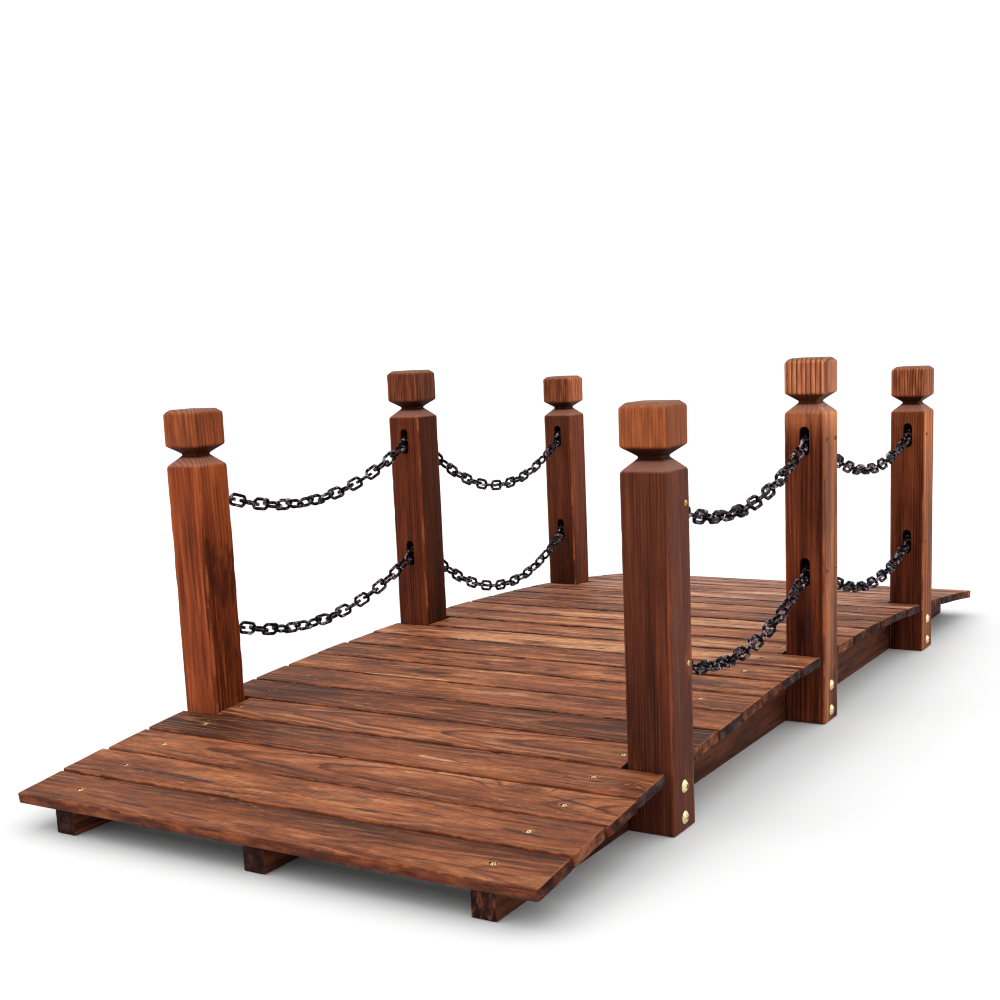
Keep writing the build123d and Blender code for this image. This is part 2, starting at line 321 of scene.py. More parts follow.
# l runs along the grain, w across the face and t through the thickness, all in mm.
def wood(name, centre, angle_y, perm, p):
    g = Tree(name)
    xyz = g.local(centre, angle_y)
    l, w, t = (xyz[k] for k in perm)
    sd = p["seed"] * 37.31
    ls = g.add(l, sd * 11.7)                       # along the grain, shifted so that no two pieces share a pattern
    tn = p["tones"]                                # five tones, burnt to pale

    # slow wander of the pith, which bends the ring lines
    slow = g.noise(g.comb(g.mul(ls, p.get("wander_l", 0.0055)), g.mul(w, 0.010), g.mul(t, 0.010)), 1.0, 2.0, 0.5, out=1)
    sx, sy, sz = g.sep(slow)
    wander = p.get("wander", 10.0)
    ww = g.add(g.sub(w, p["pith"][0]), g.mul(g.sub(sx, 0.5), wander))
    tt = g.add(g.sub(t, p["pith"][1]), g.mul(g.sub(sy, 0.5), wander))
    r = g.m("SQRT", g.add(g.mul(ww, ww), g.mul(tt, tt)))
    r = g.add(r, g.mul(l, p.get("taper", 0.02)))
    jig = g.noise(g.comb(g.mul(ls, 0.035), g.mul(w, 0.10), g.mul(t, 0.10)), 1.0, 3.0, 0.55)
    r = g.add(r, g.mul(g.sub(jig, 0.5), p.get("jig", 2.0)))

    # knots: the rings swell round each one
    knot_core, knot_halo = None, None
    for (kl, kw, kr) in p.get("knots", ()):
        dl, dw = g.sub(l, kl), g.sub(w, kw)
        e = g.m("SQRT", g.add(g.mul(g.mul(dl, dl), 0.16), g.mul(dw, dw)))
        swell = g.m("EXPONENT", g.mul(g.div(e, kr * 1.7), -1.0))
        r = g.add(r, g.mul(swell, kr * 3.2))
        e2 = g.m("SQRT", g.add(g.mul(g.mul(dl, dl), 0.30), g.mul(dw, dw)))
        core = g.step(e2, kr * 0.75, kr * 0.35)
        halo = g.step(e2, kr * 2.2, kr * 0.7)
        knot_core = core if knot_core is None else g.mx(knot_core, core)
        knot_halo = halo if knot_halo is None else g.mx(knot_halo, halo)

    ph = g.div(r, p["ring"])
    f = g.m("FRACT", ph)
    rid = g.m("FLOOR", ph)
    late = g.mul(g.step(f, p.get("late_from", 0.55), 0.90), g.step(f, 1.0, 0.95))
    each = g.noise(None, 1.0, 1.0, 0.5, kind="1D", w=g.add(g.mul(rid, 7.31), sd))
    along = g.noise(g.comb(g.mul(ls, 0.009), g.mul(w, 0.040), g.mul(t, 0.040)), 1.0, 2.0, 0.55)
    lateness = g.mul(late, g.step(g.add(g.mul(each, 0.50), g.mul(along, 0.60)), p.get("late_lo", 0.46), p.get("late_lo", 0.46) + 0.22, 0.12, 1.0))

    # tone: fractal streaks along the grain over a broad drift, plus what is listed
    streak = g.noise(g.comb(g.mul(ls, p.get("streak_l", 0.0085)), g.mul(w, p.get("streak_w", 0.05)), g.mul(t, p.get("streak_w", 0.05))), 1.0, 6.0, 0.70, dist=0.3)
    broad = g.noise(g.comb(g.mul(ls, 0.0032), g.mul(w, 0.015), g.add(g.mul(t, 0.015), 5.0)), 1.0, 2.0, 0.5)
    v = g.add(g.add(g.mul(g.sub(streak, 0.5), p.get("contrast", 2.2)), g.mul(g.sub(broad, 0.5), p.get("drift", 0.9))), p.get("tone", 0.5))
    wob = g.mul(g.sub(g.noise(g.comb(g.mul(ls, 0.016), g.mul(w, 0.06), g.mul(t, 0.06)), 1.0, 4.0, 0.62), 0.5), 1.0)
    for (al, aw, rl, rw, dv) in p.get("areas", ()):
        dl = g.mul(g.sub(l, al), 1.0 / rl)
        dw = g.mul(g.add(g.sub(w, aw), g.mul(wob, 22.0)), 1.0 / rw)
        e = g.m("EXPONENT", g.mul(g.add(g.mul(dl, dl), g.mul(dw, dw)), -1.0))
        v = g.add(v, g.mul(e, dv))
    col = g.ramp(v, [(0.0, tn[0]), (0.27, tn[1]), (0.5, tn[2]), (0.73, tn[3]), (1.0, tn[4])])

    # the dark streaks are brown in some places and blue-grey in others, the blue-grey being dark wood with painted
    # sheen
    fib2 = g.noise(g.comb(g.mul(ls, 0.007), g.mul(w, 0.20), g.mul(t, 0.20)), 1.0, 3.0, 0.6)
    coolm = g.noise(g.comb(g.mul(ls, 0.006), g.mul(w, 0.035), g.add(g.mul(t, 0.035), 2.2)), 1.0, 2.0, 0.5)
    cool = g.mul(g.step(coolm, 0.47, 0.60), g.step(v, 0.42, 0.18))
    col = g.mix(g.mul(cool, p.get("cool", 0.6)), col, p["char_and_sheen"])
    warm = g.mul(g.step(fib2, 0.52, 0.70), p.get("streak_warm", 0.5))
    col = g.mix(warm, col, p["warm"])

    # latewood lines
    lcol = g.mix(g.step(coolm, 0.44, 0.58), p["late_col"], p["char_and_sheen"])
    col = g.mix(g.mul(lateness, p["late"]), col, lcol)
    early = g.mul(g.step(f, 0.05, 0.18), g.step(f, 0.50, 0.25))
    col = g.mix(g.mul(g.mul(early, p.get("early", 0.25)), g.step(along, 0.42, 0.60)), col, tn[4])

    # charred spindles along the grain, blue-grey with painted sheen
    sp = g.noise(g.comb(g.mul(ls, p.get("spin_l", 0.014)), g.mul(w, p.get("spin_w", 0.16)), g.mul(t, 0.15)), 1.0, 2.0, 0.45)
    sp2 = g.noise(g.comb(g.mul(ls, 0.0042), g.mul(w, 0.03), g.add(g.mul(t, 0.03), 3.1)), 1.0, 1.0, 0.5)
    spin = g.mul(g.step(sp, p.get("spin_at", 0.60), p.get("spin_at", 0.60) + 0.07), g.step(sp2, 0.44, 0.60))
    col = g.mix(g.mul(spin, p.get("spin", 0.7)), col, p["char_and_sheen"])

    # thin dark lines that run far along the grain
    pin = g.noise(g.comb(g.mul(ls, p.get("pin_l", 0.007)), g.mul(w, p.get("pin_w", 0.17)), g.add(g.mul(t, 0.15), 7.7)), 1.0, 3.0, 0.5)
    col = g.mix(g.mul(g.mul(g.step(pin, 0.565, 0.615), g.step(along, 0.38, 0.54)), p.get("pin", 0.5)), col, p["burnt"])

    # placed marks, pointed at both ends: (l, w) to (l, w), half width, strength, colour
    for (l0, w0, l1, w1, hw, ms, kind) in p.get("marks", ()):
        s = g.lin(l, l0, l1, -1.0, 1.0, clamp=False)
        wc = g.lin(l, l0, l1, w0, w1, clamp=False)
        body = g.mx(g.sub(1.0, g.mul(s, s)), 0.0)
        d = g.absf(g.add(g.sub(w, wc), g.mul(wob, hw * 2.4)))
        e = g.div(d, g.add(g.mul(body, hw), 0.02))
        m = g.mul(g.step(e, 1.08, 0.72), g.step(body, 0.0, 0.10))
        m = g.mul(m, g.lin(fib2, 0.35, 0.6, 0.7, 1.0))
        col = g.mix(g.mul(m, ms), col, p[kind])

    # broad burnt bands: (centre in w, half width, strength, from l, to l)
    for (bw, bh, bs, bl0, bl1) in p.get("bands", ()):
        d = g.absf(g.sub(g.add(w, g.mul(wob, 20.0)), bw))
        band = g.mul(g.step(d, bh * 1.35, bh * 0.35), bs)
        band = g.mul(band, g.mul(g.step(l, bl0 - 30, bl0 + 30), g.step(l, bl1 + 30, bl1 - 30)))
        band = g.mul(band, g.lin(fib2, 0.35, 0.65, 0.6, 1.15))
        col = g.mix(g.mn(band, 1.0), col, p["burnt"])

    # pale flecks where the surface has fuzzed
    fl = g.noise(g.comb(g.mul(ls, 0.06), g.mul(w, 0.40), g.mul(t, 0.4)), 1.0, 3.0, 0.7)
    fl2 = g.noise(g.comb(g.mul(ls, 0.008), g.mul(w, 0.025), g.add(g.mul(t, 0.02), 9.1)), 1.0, 1.0, 0.5)
    fleck = g.mul(g.step(fl, 0.60, 0.72), g.step(fl2, 0.50, 0.66))
    col = g.mix(g.mul(fleck, p.get("fleck", 0.35)), col, p["pale"])

    if knot_core is not None:
        col = g.mix(g.mul(knot_halo, 0.38), col, p["burnt"])
        rad = g.noise(g.comb(g.mul(l, 0.25), g.mul(w, 0.5), 0.0), 1.0, 3.0, 0.7)
        col = g.mix(g.mul(knot_core, 0.85), col, g.mix(g.step(rad, 0.42, 0.60), p["burnt"], p["warm"]))

    # fine fibre contrast, 4 mm down to a quarter of a millimetre
    fib = g.noise(g.comb(g.mul(ls, p.get("fibre_l", 0.026)), g.mul(w, 0.30), g.mul(t, 0.30)), 1.0, 5.0, 0.75, dist=0.15)
    k = p.get("fibre", 0.2)
    col = g.scale_color(col, g.lin(fib, 0.32, 0.68, 1 - k, 1 + k))
    # uneven take-up of the stain, and grit
    mottle = g.noise(g.comb(g.mul(ls, 0.060), g.mul(w, 0.16), g.mul(t, 0.16)), 1.0, 4.0, 0.75)
    k = p.get("mottle", 0.16)
    col = g.scale_color(col, g.lin(mottle, 0.32, 0.68, 1 - k, 1 + k))

    # saw marks across the grain
    sawn = g.noise(g.comb(g.add(g.mul(ls, 0.30), g.mul(w, 0.06)), g.mul(w, 0.022), g.mul(t, 0.02)), 1.0, 2.0, 0.6, dist=0.2)
    sawm = g.noise(g.comb(g.mul(ls, 0.011), g.mul(w, 0.04), g.add(g.mul(t, 0.03), 5.3)), 1.0, 1.0, 0.5)
    saw = g.mul(g.sub(sawn, 0.5), g.step(sawm, 0.42, 0.62))
    col = g.scale_color(col, g.add(1.0, g.mul(saw, p.get("saw", 0.5))))

    height = g.add(g.mul(lateness, -0.45), g.mul(fib, 0.8))
    height = g.add(height, g.mul(saw, p.get("saw_bump", 0.8)))
    rough = g.lin(g.add(g.mul(fib, 0.5), g.mul(streak, 0.5)), 0.35, 0.65, p.get("rough", (0.50, 0.70))[0], p.get("rough", (0.50, 0.70))[1])
    return g, l, w, t, col, rough, height, (f, late, lateness, fib, fib2, streak, spin, knot_core)


SPEC_DECK, SPEC_POST = 0.06, 0.045

# ------------------------------------------------------------------ camera and light
cam_data = bpy.data.cameras.new("camera")
cam = bpy.data.objects.new("camera", cam_data)
bpy.context.scene.collection.objects.link(cam)
right, up, back = (0.52016, -0.852996, -0.042798), (0.1748, 0.057276, 0.982937), (-0.835989, -0.518766, 0.178896)
rot = Matrix((right, up, back)).transposed()
cam.matrix_world = Matrix.Translation((-1.72567, -0.90481, 0.49762)) @ rot.to_quaternion().normalized().to_matrix().to_4x4()
cam_data.sensor_width = 36.0
cam_data.lens = 51.1074
cam_data.shift_y = 0.1
cam_data.clip_end = 60.0
bpy.context.scene.camera = cam

scene = bpy.context.scene
scene.view_settings.view_transform = "Standard"
scene.view_settings.look = "None"
scene.cycles.filter_width = 1.1
scene.cycles.diffuse_bounces = 1
scene.cycles.glossy_bounces = 2

world = bpy.data.worlds.new("studio")
scene.world = world
world.use_nodes = True
wt = world.node_tree
w_bg = wt.nodes["Background"]
w_tc, w_sep, w_map = wt.nodes.new("ShaderNodeTexCoord"), wt.nodes.new("ShaderNodeSeparateXYZ"), wt.nodes.new("ShaderNodeMapRange")
w_map.interpolation_type = "SMOOTHSTEP"
wt.links.new(w_tc.outputs["Generated"], w_sep.inputs[0])
wt.links.new(w_sep.outputs[2], w_map.inputs[0])
for k, v in enumerate((0.12, 1.0, 1.03, 2.1)):
    w_map.inputs[k + 1].default_value = v
w_bg.inputs[0].default_value = (1.0, 1.0, 1.0, 1.0)
wt.links.new(w_map.outputs[0], w_bg.inputs[1])


def area(name, loc, target, size, power):
    data = bpy.data.lights.new(name, "AREA")
    data.shape = "RECTANGLE"
    data.size, data.size_y = size
    data.energy = power
    ob = bpy.data.objects.new(name, data)
    scene.collection.objects.link(ob)
    ob.location = loc
    ob.rotation_euler = (Vector(target) - Vector(loc)).to_track_quat("-Z", "Y").to_euler()
    return ob


area("key", (-1.6, 1.6, 2.6), (0.0, 0.0, 0.15), (1.6, 1.6), 12.0)
area("side", (0.6, -3.0, 1.5), (0.1, -0.1, 0.2), (2.4, 1.6), 8.0)

floor = make_mesh("floor", np.array([(-30000, -30000, -0.4), (30000, -30000, -0.4), (30000, 30000, -0.4), (-30000, 30000, -0.4)]), [(0, 1, 2, 3)], closed=False)
ft = Tree("floor_paper")
ftc = ft.node("ShaderNodeTexCoord")
fn = ft.noise(ftc.outputs["Object"], 3.0, 2.0, 0.5)
floor.data.materials.append(ft.finish(ft.mix(fn, (0.60, 0.60, 0.60, 1), (0.62, 0.62, 0.62, 1)), 0.7, spec=0.2))

# ------------------------------------------------------------------ deck boards
DG = 0.56                                          # base colour over the tone seen, for faces turned to the sky
DECK_TONES = [seen(58, 32, 25, DG), seen(100, 57, 40, DG), seen(144, 83, 55, DG), seen(180, 110, 72, DG), seen(218, 156, 110, DG)]
DECK_TONE = [0.44, 0.54, 0.54, 0.42, 0.57, 0.32, 0.49, 0.55, 0.54, 0.58, 0.72, 0.52, 0.59, 0.73, 0.50, 0.56, 0.54, 0.62, 0.60, 0.56, 0.58, 0.57, 0.59]

FAR_SHEEN_TONES = [seen(54, 31, 25, DG), seen(102, 63, 48, DG), seen(150, 96, 73, DG), seen(190, 129, 102, DG), seen(230, 179, 150, DG)]      # greyer, paler tones for the farther boards: painted sheen


def deck_tones(i):
    k = max(0.0, min(1.0, (i - 12) / 8))
    return [tuple(a + (b - a) * k for a, b in zip(u, v)) for u, v in zip(DECK_TONES, FAR_SHEEN_TONES)]


DECK = {}
for i in range(N_BOARDS):
    q = rng("deck", i)
    far = max(0.0, min(1.0, (i - 5) / 8))
    mid = min(1.0, far * 2.5)
    DECK[i] = dict(
        seed=i + 1.0, pith=(q.uniform(-22, 22), q.choice((-1, 1)) * q.uniform(14, 46)), ring=q.uniform(5.2, 6.8) + 4.0 * far,
        taper=q.choice((-1, 1)) * q.uniform(0.012, 0.036), wander=q.uniform(6, 14), jig=q.uniform(1.6, 3.2),
        late=q.uniform(0.42, 0.62) + 0.05 * far, late_from=q.uniform(0.60, 0.70) - 0.08 * far, late_lo=0.43 - 0.03 * far, pin=0.28 + 0.15 * far, late_col=seen(82, 44, 33, DG), tones=deck_tones(i),
        tone=DECK_TONE[i], contrast=1.15 + 1.05 * mid, drift=0.6 + 0.45 * far, streak_w=0.055 - 0.015 * far,
        warm=seen(184, 106, 62, DG), char_and_sheen=seen(74 + 8 * far, 54 - 6 * far, 54 - 12 * far, DG), burnt=seen(70, 36, 27, DG), pale=seen(226, 180, 136, DG),
        streak_warm=q.uniform(0.30, 0.60), spin=q.uniform(0.5, 0.85), spin_at=q.uniform(0.62, 0.655) - 0.03 * far, spin_w=0.22 - 0.07 * far, spin_l=0.018,
        fleck=0.6 + 0.3 * far, fibre=0.38, mottle=0.21 + 0.08 * mid, fibre_l=0.026 - 0.010 * far, saw=q.uniform(0.5, 0.95), saw_bump=0.8, cool=q.uniform(0.25, 0.6) * (1 - 0.5 * far), streak_l=0.0085 - 0.0015 * far, pin_l=0.007 - 0.003 * far,
        bands=[(q.choice((-1, 1)) * 31, q.uniform(3, 6), q.uniform(0.3, 0.7), -330, 330)], knots=[], marks=[], areas=[])

DECK[0].update(pith=(-14, -26), ring=5.6, taper=0.040, saw=0.5, bands=[(27, 6, 0.75, -330, 10), (30, 4, 0.5, 0, 330)],
               areas=[(150, -10, 150, 9, 0.16), (-250, -14, 80, 12, 0.12), (-60, 14, 90, 10, -0.16)],
               marks=[(200, -12, 140, -13, 3.2, 0.9, "char_and_sheen"), (120, -15, 60, -17, 2.4, 0.7, "char_and_sheen"), (255, -7, 190, -11, 2.4, 0.6, "char_and_sheen"),
                      (-40, -4, -190, -1, 2.4, 0.6, "burnt"), (-150, -17, -300, -13, 2.6, 0.6, "burnt"), (-60, -22, -180, -24, 3.0, 0.5, "burnt")])
DECK[1].update(pith=(8, -40), ring=5.8, taper=-0.032, areas=[(-30, 4, 150, 22, 0.22), (225, 0, 100, 16, -0.12)],
               marks=[(250, -3, 113, -7, 4.6, 0.95, "char_and_sheen"), (-67, -11, -103, -10, 3.2, 0.9, "char_and_sheen"), (-222, -2, -292, -8, 2.6, 0.85, "char_and_sheen"),
                      (-120, 4, -166, 2, 2.2, 0.7, "char_and_sheen"), (-180, 14, -300, 12, 2.2, 0.6, "burnt")], bands=[(30, 4, 0.5, -330, 200)])
DECK[2].update(pith=(4, -34), ring=5.2, taper=0.036, late=0.74, late_lo=0.38, knots=[(-209, 18, 8.0)], bands=[(-30, 4, 0.4, -100, 330)],
               areas=[(260, 16, 70, 14, 0.20), (60, -16, 150, 12, -0.10), (-150, 18, 120, 9, 0.10)],
               marks=[(-236, 12, -306, -2, 3.0, 0.85, "char_and_sheen"), (-226, 4, -290, -14, 1.8, 0.7, "char_and_sheen"), (-140, 20, -196, 18, 2.2, 0.6, "char_and_sheen")])
DECK[3].update(ring=5.0, taper=0.03, knots=[(-299, -4, 4.5)], areas=[(270, -10, 110, 34, -0.20), (240, 16, 120, 14, -0.20), (-95, -12, 110, 16, 0.24), (-190, 18, 120, 10, 0.22)],
               marks=[(322, -28, 196, -27, 7.0, 0.6, "burnt"), (-50, -5, -76, -5, 3.0, 0.8, "pale"), (-70, -7, -100, -7, 3.2, 0.8, "pale"),
                      (-155, 4, -236, 0, 4.0, 0.45, "burnt"), (-232, -4, -252, -6, 3.0, 0.6, "warm")])
DECK[4].update(pith=(2, -24), ring=5.8, taper=0.050, late=0.8, late_from=0.62, early=0.45, late_lo=0.38, jig=1.0, areas=[(0, 4, 200, 24, 0.06)],
               marks=[(262, 6, 160, 4, 2.6, 0.9, "char_and_sheen"), (150, 12, 96, 8, 3.0, 0.7, "char_and_sheen"), (30, 2, -60, -2, 2.0, 0.6, "char_and_sheen")], bands=[(-30, 3, 0.4, -274, 274)])
DECK[5].update(pith=(-2, 30), ring=6.0, taper=0.040, late=0.6, areas=[(250, 0, 90, 34, -0.10), (-70, 6, 90, 20, 0.08)], bands=[(28, 7, 0.5, -330, 0), (-30, 4, 0.4, 0, 330)])
DECK[6].update(areas=[(-20, 9, 60, 11, 0.16), (20, 0, 120, 20, 0.08)],
               marks=[(8, 7, -34, 9, 6.0, 0.45, "grey"), (-28, 10, -66, 11, 6.0, 0.5, "grey"), (-110, -6, -190, -8, 2.6, 0.7, "char_and_sheen")])
DECK[7].update(areas=[(-40, 0, 150, 30, 0.14)], marks=[(206, -29.5, 42, -29.5, 2.4, 0.95, "pale"), (126, -2, 76, -1, 3.8, 0.95, "char_and_sheen"), (200, 10, 130, 12, 2.6, 0.5, "pale"), (240, 0, 190, 4, 3.0, 0.6, "char_and_sheen"), (-272, 19, -320, 11, 3.5, 0.8, "char_and_sheen")])
DECK[8].update(areas=[(-265, 0, 60, 34, 0.16)], marks=[(82, -7, 48, -12, 4.4, 0.85, "char_and_sheen"), (28, -7, -4, 1, 4.4, 0.85, "char_and_sheen"), (-24, -13, -46, -10, 4.4, 0.8, "char_and_sheen"),
                      (-98, -3, -130, 2, 5.0, 0.8, "char_and_sheen"), (-150, 2, -230, 4, 5.0, 0.8, "char_and_sheen"), (170, 6, 110, 2, 4.0, 0.6, "char_and_sheen")])
DECK[9].update(areas=[(-20, -22, 120, 10, 0.20), (100, 14, 150, 8, -0.12), (195, 0, 30, 30, -0.10), (-200, 0, 80, 34, 0.10)],
               marks=[(252, 29, 118, 30, 4.2, 0.9, "burnt"), (90, -8, 20, -6, 2.6, 0.5, "burnt")])
DECK[10].update(areas=[(-30, 0, 190, 34, 0.22), (272, 0, 60, 40, -0.20), (-190, -6, 50, 26, 0.24), (-275, -12, 36, 18, -0.16)],
                marks=[(30, -29, -170, -30, 2.8, 0.9, "pale"), (-284, -27, -332, -28, 3.0, 0.85, "pale"), (300, -22, 254, -12, 5.0, 0.7, "char_and_sheen"), (180, 26, 60, 24, 2.6, 0.6, "pale")])
DECK[11].update(areas=[(0, -16, 260, 14, 0.28), (-190, 0, 70, 34, 0.20)])
DECK[12].update(areas=[(80, -14, 210, 16, 0.30), (260, 14, 60, 14, -0.14), (-190, 8, 50, 20, -0.16)])
DECK[13].update(areas=[(0, -10, 260, 22, 0.20), (-140, -12, 110, 16, 0.26)])
DECK[14].update(areas=[(230, 12, 110, 16, -0.22), (-100, 12, 60, 18, 0.26)])
DECK[15].update(areas=[(230, 12, 90, 12, 0.18), (180, -14, 60, 12, -0.16), (-90, 6, 70, 22, 0.28)])
DECK[16].update(areas=[(240, -6, 110, 22, -0.22), (-60, 6, 110, 24, 0.26), (60, 14, 60, 10, -0.12)])
DECK[17].update(areas=[(272, 4, 60, 26, -0.22), (0, 0, 130, 34, 0.24)])
DECK[19].update(areas=[(60, 12, 110, 14, 0.20), (-60, -14, 60, 10, -0.16)])
DECK[20].update(areas=[(-190, 12, 60, 14, -0.22), (60, 4, 120, 14, 0.12)])
for i in (18, 21):
    q = rng("deck areas", i)
    DECK[i]["areas"] = [(q.uniform(-200, 200), q.uniform(-18, 18), q.uniform(60, 150), q.uniform(9, 18), q.choice((-1, 1)) * q.uniform(0.16, 0.34)) for _ in range(3)]
for i in range(N_BOARDS):
    DECK[i]["grey"] = seen(186, 152, 132, DG)


def screw_spots(i):
    q = rng("screws", i)
    return [(s * (261.0 + q.uniform(-3.0, 3.0)), q.uniform(-3.0, 3.0)) for s in (1, -1)]


# sawn ends took the stain very differently
END_TONES = dict(cold=((40, 29, 29), (64, 48, 46), (96, 72, 64)), red=((44, 26, 24), (74, 43, 35), (112, 68, 50)),
                 pale=((84, 48, 36), (128, 77, 54), (160, 102, 74)), brown=((50, 29, 25), (84, 48, 37), (124, 76, 56)))

# how far each board reaches past or short of its nominal end, at +Y and at -Y
ENDS = {}
for i in range(N_BOARDS):
    q = rng("ends", i)
    ENDS[i] = (q.uniform(-2.6, 1.0), q.uniform(-2.6, 1.0)) if i not in SHORT_BOARDS else (q.uniform(-1.2, 0.0), q.uniform(-1.2, 0.0))


def deck_material(i):
    p = DECK[i]
    q = rng("deck ends", i)
    phi = PHI[i]
    centre = (RC * sin(phi), 0.0, ARCH_ZC + RC * cos(phi))
    g, l, w, t, col, rough, height, parts = wood("deck_wood_%02d" % (i + 1), centre, phi, (1, 0, 2), p)
    f, late, lateness, fib, fib2, streak, spin, knot = parts
    half = DECK_W / 2 if i not in SHORT_BOARDS else SHORT_HALF
    # the long sides are mottled: raw orange, red-brown and scorched blue-grey; lower down in the gaps, and more so on
    # the farther boards, they are painted darker, painted shade of the gaps
    side = g.step(t, 5.0, 3.8)
    m1 = g.noise(g.comb(g.mul(g.add(l, i * 91.0), 0.014), g.mul(w, 0.02), g.mul(t, 0.05)), 1.0, 4.0, 0.62)
    m2 = g.noise(g.comb(g.mul(g.add(l, i * 57.0), 0.05), g.mul(w, 0.02), g.mul(t, 0.22)), 1.0, 3.0, 0.6)
    mv = g.add(g.mul(m1, 0.72), g.mul(m2, 0.28))
    sidecol = g.ramp(mv, [(0.36, seen(66, 50, 50, 0.75)), (0.45, seen(80, 44, 36, 0.75)), (0.53, seen(116, 62, 44, 0.75)), (0.64, seen(158, 92, 62, 0.75))])
    far, gap = max(0.0, min(1.0, (i - 5) / 8)), max(0.0, min(1.0, (i - 3) / 5))
    # beyond the first board the sides are painted darker deeper down and on the farther boards: painted shade in the
    # gaps
    if i > 0:
        sidecol = g.mix(0.80, sidecol, g.mix(g.step(t, 5.0, 1.0), seen(150 - 110 * gap, 78 - 60 * gap, 50 - 37 * gap, 0.75), seen(100 - 84 * gap, 52 - 44 * gap, 38 - 32 * gap, 0.75)))
    col = g.mix(g.mul(side, 0.85), col, sidecol)
    # the arrises: here and there a thin orange line along the near arris, a painted highlight, dark elsewhere as
    # painted shade; ragged and dark along the other arris, painted shade of the gap
    en = g.noise(g.comb(g.mul(g.add(l, i * 31.0), 0.02), 0.0, p["seed"]), 1.0, 4.0, 0.65)
    reach = g.mul(g.lin(en, 0.36 - 0.06 * gap, 0.66 - 0.08 * gap, 0.3, 4.4), 0.28 + 0.70 * gap + 0.85 * far)
    depth = g.sub(BOARD_W / 2, w)
    # dark band along the far arris: painted shade of the gap
    back = g.mul(g.step(g.div(depth, reach), 1.25, 0.55), g.step(t, 1.6, 3.8))
    col = g.mix(g.mul(back, g.step(en, 0.36, 0.60, 0.50 + 0.32 * gap, 0.95)), col, seen(66 - 40 * gap, 32 - 22 * gap, 23 - 16 * gap, DG))
    # thin line on the near arris, orange in places and dark elsewhere: painted highlight and painted shade
    rim = g.mul(g.step(w, -BOARD_W / 2 + 2.2, -BOARD_W / 2 + 0.9), g.step(t, 4.0, 4.9))
    rn = g.noise(g.comb(g.mul(g.add(l, i * 67.0), 0.015), 3.0, p["seed"]), 1.0, 4.0, 0.65)
    col = g.mix(g.mul(rim, 0.8), col, g.mix(g.step(rn, 0.46, 0.58), seen(96 - 30 * far, 48 - 18 * far, 33 - 13 * far, DG), seen(176, 96, 56, 0.60)))
    # end grain
    cut = g.mx(g.sub(l, half + ENDS[i][0]), g.sub(g.mul(l, -1.0), half + ENDS[i][1]))     # depth past the sawn end, negative inside
    end = g.mul(g.step(g.facing(1), 0.45, 0.80), g.step(cut, -6.0, -5.0))
    eg = g.noise(g.comb(g.mul(l, 0.004), g.mul(w, 0.055), g.add(g.mul(t, 0.07), i * 3.7)), 1.0, 4.0, 0.58)
    end_tone = END_TONES[("brown", "pale", "red", "cold")[i] if i < 4 else q.choice(("cold", "red", "brown", "cold", "red", "pale"))]
    endcol = g.ramp(eg, [(pos, seen(*c, 0.7)) for pos, c in zip((0.36, 0.52, 0.68), end_tone)])
    endcol = g.mix(g.mul(late, 0.18), endcol, seen(32, 22, 24, 0.8))
    col = g.mix(end, col, endcol)
    # the upper rim of the sawn ends, paler
    er = g.mul(g.mul(g.step(cut, -3.0, -1.8), g.step(g.facing(1), 0.80, 0.45)), g.step(t, 4.2, 5.2))
    en2 = g.noise(g.comb(g.mul(l, 0.01), g.mul(w, 0.10), 0.0), 1.0, 3.0, 0.6)
    col = g.mix(g.mul(er, g.step(en2, 0.40, 0.60, 0.15, 0.7)), col, seen(170, 104, 70, DG))
    # round the screws the fibres are torn
    for sl, sw in screw_spots(i):
        dl, dw = g.sub(l, sl), g.sub(w, sw)
        d = g.m("SQRT", g.add(g.mul(g.mul(dl, dl), 0.62), g.mul(dw, dw)))
        d = g.add(d, g.mul(g.sub(g.noise(g.comb(g.mul(l, 0.5), g.mul(w, 0.5), sd_of(i)), 1.0, 2.0, 0.6), 0.5), 2.6))
        ring = g.mul(g.step(d, 5.0, 4.2), g.step(d, 2.9, 3.5))
        col = g.mix(g.mul(ring, 0.40 - 0.30 * far), col, seen(214, 160, 112, DG))
        # a dark ring round each head: painted shade of the hole
        hole = g.step(d, 3.7, 3.1)
        col = g.mix(g.mul(hole, 0.9), col, seen(40, 22, 16, DG))
    rough = g.mixf(end, rough, 0.8)
    height = g.mul(height, g.mixf(g.step(g.facing(1), 0.30, 0.60), 1.0, 0.12))
    return g.finish(col, rough, height, bump=0.6, dist=0.0008, spec=SPEC_DECK)


def sd_of(i):
    return i * 3.7 + 0.31


def rounded(wid, thk, r, n_top, n_side, n_arc, n_bottom, extra=()):
    # closed loop of (w, t), starting at the top left corner and running over the top
    pts = []
    tops = list(np.linspace(-wid / 2 + r, wid / 2 - r, n_top))
    for c, reach, d in extra:
        tops = [v for v in tops if abs(v - c) > reach + 0.3] + list(np.arange(c - reach, c + reach + 1e-6, d))
    for v in sorted(tops):
        pts.append((v, thk / 2))
    arc = [pi / 2 * k / n_arc for k in range(1, n_arc)]
    for a in arc:
        pts.append((wid / 2 - r + r * sin(a), thk / 2 - r + r * cos(a)))
    for v in np.linspace(thk / 2 - r, -thk / 2 + r, n_side):
        pts.append((wid / 2, v))
    for a in arc:
        pts.append((wid / 2 - r + r * cos(a), -thk / 2 + r - r * sin(a)))
    for v in np.linspace(wid / 2 - r, -wid / 2 + r, n_bottom):
        pts.append((v, -thk / 2))
    for a in arc:
        pts.append((-wid / 2 + r - r * sin(a), -thk / 2 + r - r * cos(a)))
    for v in np.linspace(-thk / 2 + r, thk / 2 - r, n_side):
        pts.append((-wid / 2, v))
    for a in arc:
        pts.append((-wid / 2 + r - r * cos(a), thk / 2 - r + r * sin(a)))
    return np.array(pts)


